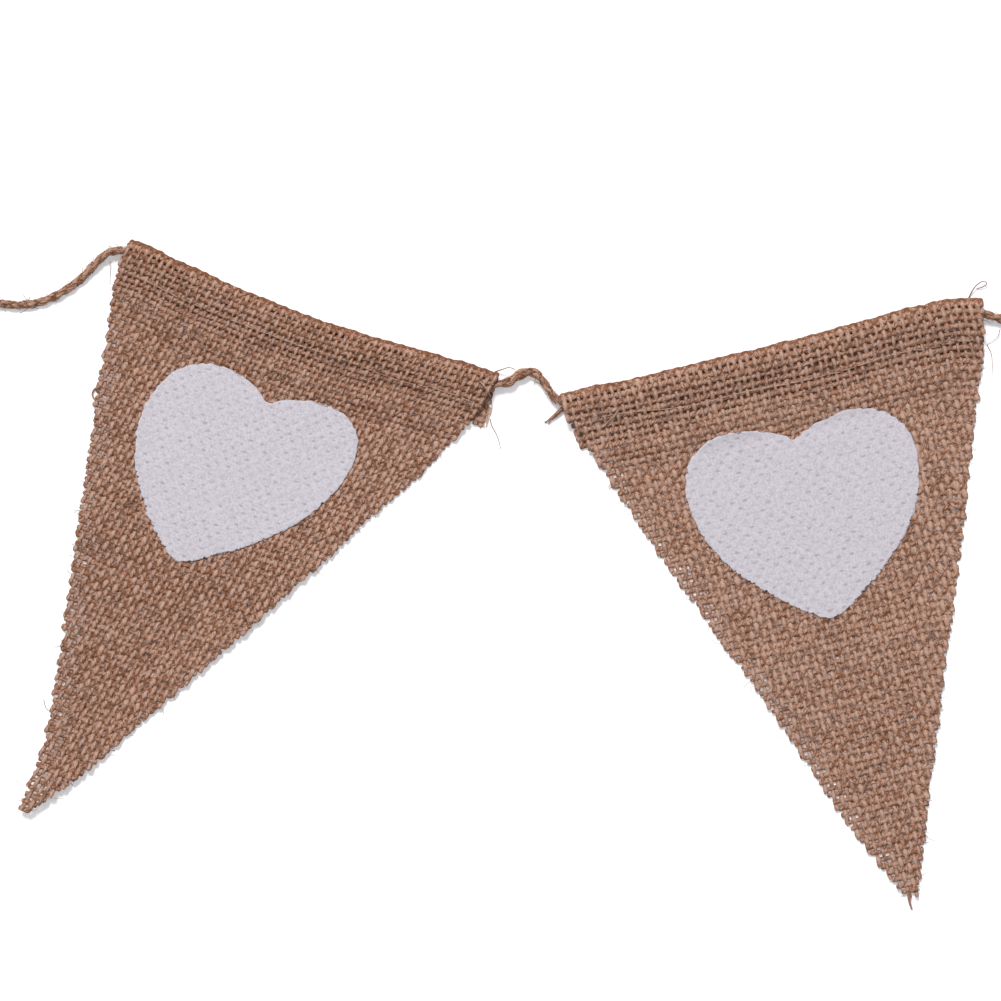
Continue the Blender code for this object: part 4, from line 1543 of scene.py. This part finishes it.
def cloth_fibres(weave, count, rng):
    """Fibres that lie over the front, most of them nearly along the threads, and none on the print."""
    pennant = weave.pennant
    m = rng.triangular(FIBRES_START, 0.0, pennant.length - FIBRES_END_BEFORE_POINT, count * 2)
    left, right = pennant.sides(m + FOLD_DEPTH)
    s = left + (right - left) * rng.uniform(*FIBRES_ACROSS, len(m))
    heading = rng.choice([0.0, math.pi / 2], len(s)) + rng.normal(0, FIBRE_HEADING_SPREAD, len(s))
    length = rng.uniform(*FIBRE_LENGTHS, len(s)) * MM
    curl = rng.normal(0, FIBRE_CURL, len(s))
    lines = fibre_lines(s, m, heading, length, curl, np.full(len(s), FIBRE_HEIGHT))
    bare = ~weave.heart_print.contains(*lines[:2]).any(axis=1)
    return fibre_strands(pennant, *(line[bare][:count] for line in lines), rng)


def side_fibres(weave, count, rng):
    """Fibres that fringe both cut sides."""
    pennant = weave.pennant
    m = rng.uniform(0.0, pennant.length - FRINGE_ENDS_BEFORE_POINT, count)
    side = rng.choice([-1.0, 1.0], count)
    left, right = weave.sides(m)
    s = np.where(side < 0, left + FRINGE_ROOT, right - FRINGE_ROOT)
    heading = np.where(side < 0, math.pi, 0.0) + rng.normal(0, FRINGE_HEADING_SPREAD, count)
    length = rng.gamma(*FRINGE_LENGTHS, count) * MM + FRINGE_SHORTEST
    curl = rng.normal(0, FRINGE_CURL, count)
    height = rng.uniform(*FRINGE_HEIGHTS, count) * MM
    return fibre_strands(pennant, *fibre_lines(s, m, heading, length, curl, height), rng)


print("fibres for each pennant:", FIBRES_ON_CLOTH, "over the cloth and", FIBRES_ON_SIDES, "along its sides")

# %% [markdown]
# ## Fibres across the gaps
#
# Fibres also cross the gaps from yarn to yarn, and they lie deep enough to be in shade. Their tone is also
# painted darker than the yarns', as painted shade. They are what keeps the gaps of real hessian from looking
# like drilled holes. Each is one short straight length, which is all that can be seen of it. A gap over the
# casing has fewer than one below, and the open left side has none.

# %% Fibres across the gaps
FIBRES_IN_GAP = 3
FIBRES_IN_CASING_GAP = 2
GAP_FIBRE_SPREAD = 0.15 * MM
GAP_FIBRE_DIAMETER = 0.24 * MM
# Painted shade: the gap fibres' tone is set darker than the yarns'.
GAP_FIBRE_PAINTED_SHADE = -0.14
GAP_FIBRE_HEIGHTS = (-0.2, 0.3)
BARE_OPEN_SIDE = 0.8 * OPEN_SIDE
BARE_SIDE = 0.7 * MM


def gap_fibres(weave, rng):
    """Short straight fibres in each gap of the front, away from the print and from the cut sides."""
    pennant = weave.pennant
    warp, weft = np.meshgrid(np.arange(len(weave.warps)), np.arange(len(weave.wefts) - 1))
    s = weave.warps[0] + (warp.ravel() + 0.5) * weave.warp_pitch
    m = np.interp(weft.ravel() + 0.5, np.arange(len(weave.wefts)), weave.wefts)
    left, right = weave.sides(m)
    bare_left = np.where(m > CASING_DEPTH, BARE_OPEN_SIDE, BARE_SIDE)
    keep = (m > 0) & (s > left + bare_left) & (s < right - BARE_SIDE) & ~weave.heart_print.contains(s, m)
    s, m = s[keep], m[keep]
    count = np.where(m < CASING_DEPTH, FIBRES_IN_CASING_GAP, FIBRES_IN_GAP)
    s, m = np.repeat(s, count), np.repeat(m, count)
    s += rng.normal(0, GAP_FIBRE_SPREAD, len(s))
    m += rng.normal(0, GAP_FIBRE_SPREAD, len(m))
    heading = rng.uniform(0, math.pi, len(s))
    half = rng.uniform(*FIBRE_SIZES, len(s)) * MM
    across, down = half * np.cos(heading), half * np.sin(heading)
    height = rng.uniform(*GAP_FIBRE_HEIGHTS, (len(s), 2)) * MM
    ends_s = np.stack([s - across, s + across], axis=1)
    ends_m = np.stack([m - down, m + down], axis=1)
    return fibre_strands(pennant, ends_s, ends_m, height, rng, GAP_FIBRE_PAINTED_SHADE)


print("fibres in each gap:", FIBRES_IN_CASING_GAP, "over the casing and", FIBRES_IN_GAP, "below it")

# %% Scatter fibres on the cloth
FIBRE_SEED = 41

fibre_rng = np.random.default_rng(FIBRE_SEED)
fibres, crossing_fibres = [], []
for name, weave in weaves.items():
    fibres += cloth_fibres(weave, FIBRES_ON_CLOTH, fibre_rng)
    fibres += side_fibres(weave, FIBRES_ON_SIDES, fibre_rng)
    crossing_fibres += gap_fibres(weave, fibre_rng)
make_round_strands("cloth_fibres", fibres, FIBRE_DIAMETER, FIBRE_SIDES, hessian)
make_round_strands("gap_fibres", crossing_fibres, GAP_FIBRE_DIAMETER, FIBRE_SIDES, hessian)

# %% [markdown]
# ## Fibres on the twine
#
# Twine is hairier than cloth, because nothing holds its fibres down. Each one starts at the twine's
# surface, runs along it for a little and bends away, and the longer ones droop. Fibres go only where the
# twine lies bare.

# %% Scatter fibres on the twine
TWINE_FIBRE_SEED = 51
FIBRES_ON_TWINE = 520
TWINE_SURFACE = 1.10 * MM
TWINE_FIBRE_TONE = 0.03
TWINE_FIBRE_TONES = 0.08
BARE_ENDS = 4
BELOW_LEVEL = 0.3
DROOP = 0.5
# A gamma draw and its shortest length in millimetres, and a beta draw for how far a fibre bends away.
TWINE_FIBRE_LENGTHS = (2.0, 0.45)
TWINE_FIBRE_SHORTEST = 0.8
TWINE_FIBRE_LEANS = (1.2, 4.5)


def twine_fibres(line, count, rng):
    """Fibres that start on the twine's surface, run along it and bend away."""
    number = rng.integers(BARE_ENDS, len(line) - BARE_ENDS, count)
    aside, up = across_line(line)
    along = unit(np.gradient(line, axis=0))[number] * rng.choice([-1.0, 1.0], count)[:, None]
    angle = rng.uniform(-BELOW_LEVEL, math.pi + BELOW_LEVEL, count)[:, None]
    outwards = np.cos(angle) * aside[number] + np.sin(angle) * up[number]
    length = (rng.gamma(*TWINE_FIBRE_LENGTHS, count) + TWINE_FIBRE_SHORTEST) * MM
    lean = rng.beta(*TWINE_FIBRE_LEANS, count)
    strands = []
    for place, run, out, reach, share in zip(line[number], along, outwards, length, lean):
        width = rng.uniform(*FIBRE_SIZES)
        t = np.linspace(0.0, 1.0, FIBRE_RINGS)[:, None]
        fibre = place + out * TWINE_SURFACE + reach * (run * t * (1 - share * t / 2) + out * share * t * t)
        fibre[:, 2] = np.maximum(fibre[:, 2] - DROOP * reach * t[:, 0] ** 2, FIBRE_DIAMETER)
        tone = rng.normal(TWINE_FIBRE_TONE, TWINE_FIBRE_TONES)
        strands.append(Strand(fibre, width, tone, 0.0))
    return strands


bare_line = twine_line[ground(twine_line[:, 0], twine_line[:, 1]) == 0.0]
hairs = twine_fibres(bare_line, FIBRES_ON_TWINE, np.random.default_rng(TWINE_FIBRE_SEED))
twine_hair = make_round_strands("twine_fibres", hairs, FIBRE_DIAMETER, FIBRE_SIDES, jute)

# %% [markdown]
# ## The table
#
# The row lies on a plain white table. It glows a little, which keeps it white between the soft shadows, and
# it is large enough that its far edge doesn't show from a low camera.

# %% Table
TABLE_REACH = 8.0
TABLE_COLOUR = (0.91, 0.91, 0.915, 1.0)
TABLE_ROUGHNESS = 0.8
TABLE_GLOW = (0.94, 0.95, 1.0, 1.0)
TABLE_GLOW_STRENGTH = 0.24


def make_table():
    """A flat square on the row's own ground level, which belongs to the stage."""
    mesh = bpy.data.meshes.new("table")
    shape = bmesh.new()
    bmesh.ops.create_grid(shape, x_segments=1, y_segments=1, size=TABLE_REACH)
    shape.to_mesh(mesh)
    shape.free()
    material, _, shader = new_material("table")
    shader.inputs["Base Color"].default_value = TABLE_COLOUR
    shader.inputs["Roughness"].default_value = TABLE_ROUGHNESS
    shader.inputs["Emission Color"].default_value = TABLE_GLOW
    shader.inputs["Emission Strength"].default_value = TABLE_GLOW_STRENGTH
    mesh.materials.append(material)
    table = bpy.data.objects.new("table", mesh)
    bpy.context.scene.collection.objects.link(table)
    table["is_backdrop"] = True
    return table


make_table()
print(f"the table is {2 * TABLE_REACH:.0f} m wide")

# %% [markdown]
# ## The light
#
# One large soft lamp stands behind the row and a little to the left, so the shadows fall towards the front
# and are soft. Pale light from all round fills them. The colours of the materials are meant to be seen as
# they are, so the view transform is the plain one.

# %% Lamp and surroundings
LAMP_PLACE = (-0.60, 2.10, 2.84)
LAMP_SIZE = 0.92
LAMP_POWER = 112.0
WORLD_COLOUR = (0.97, 0.98, 1.0, 1.0)
WORLD_STRENGTH = 0.50


def make_lamp():
    """A round lamp that points at the middle of the row."""
    lamp = bpy.data.lights.new("lamp", "AREA")
    lamp.shape = "DISK"
    lamp.size = LAMP_SIZE
    lamp.energy = LAMP_POWER
    holder = bpy.data.objects.new("lamp", lamp)
    holder.location = LAMP_PLACE
    bpy.context.scene.collection.objects.link(holder)
    holder.rotation_euler = (-Vector(LAMP_PLACE)).to_track_quat("-Z", "Y").to_euler()


make_lamp()
world = bpy.data.worlds.new("studio")
world.use_nodes = True
background = world.node_tree.nodes["Background"]
background.inputs["Color"].default_value = WORLD_COLOUR
background.inputs["Strength"].default_value = WORLD_STRENGTH
bpy.context.scene.world = world
bpy.context.scene.view_settings.view_transform = "Standard"
print(f"the lamp is {Vector(LAMP_PLACE).length:.1f} m away and {LAMP_SIZE:.2f} m across")

# %% [markdown]
# ## What is limp
#
# Three things here are limp: the twine and the two cloths, which lie on the table. At the end the
# finished row is measured.

# %% Measure the finished row
low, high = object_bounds()
print("the finished row measures", [round((b - a) / MM, 1) for a, b in zip(low, high)], "mm")
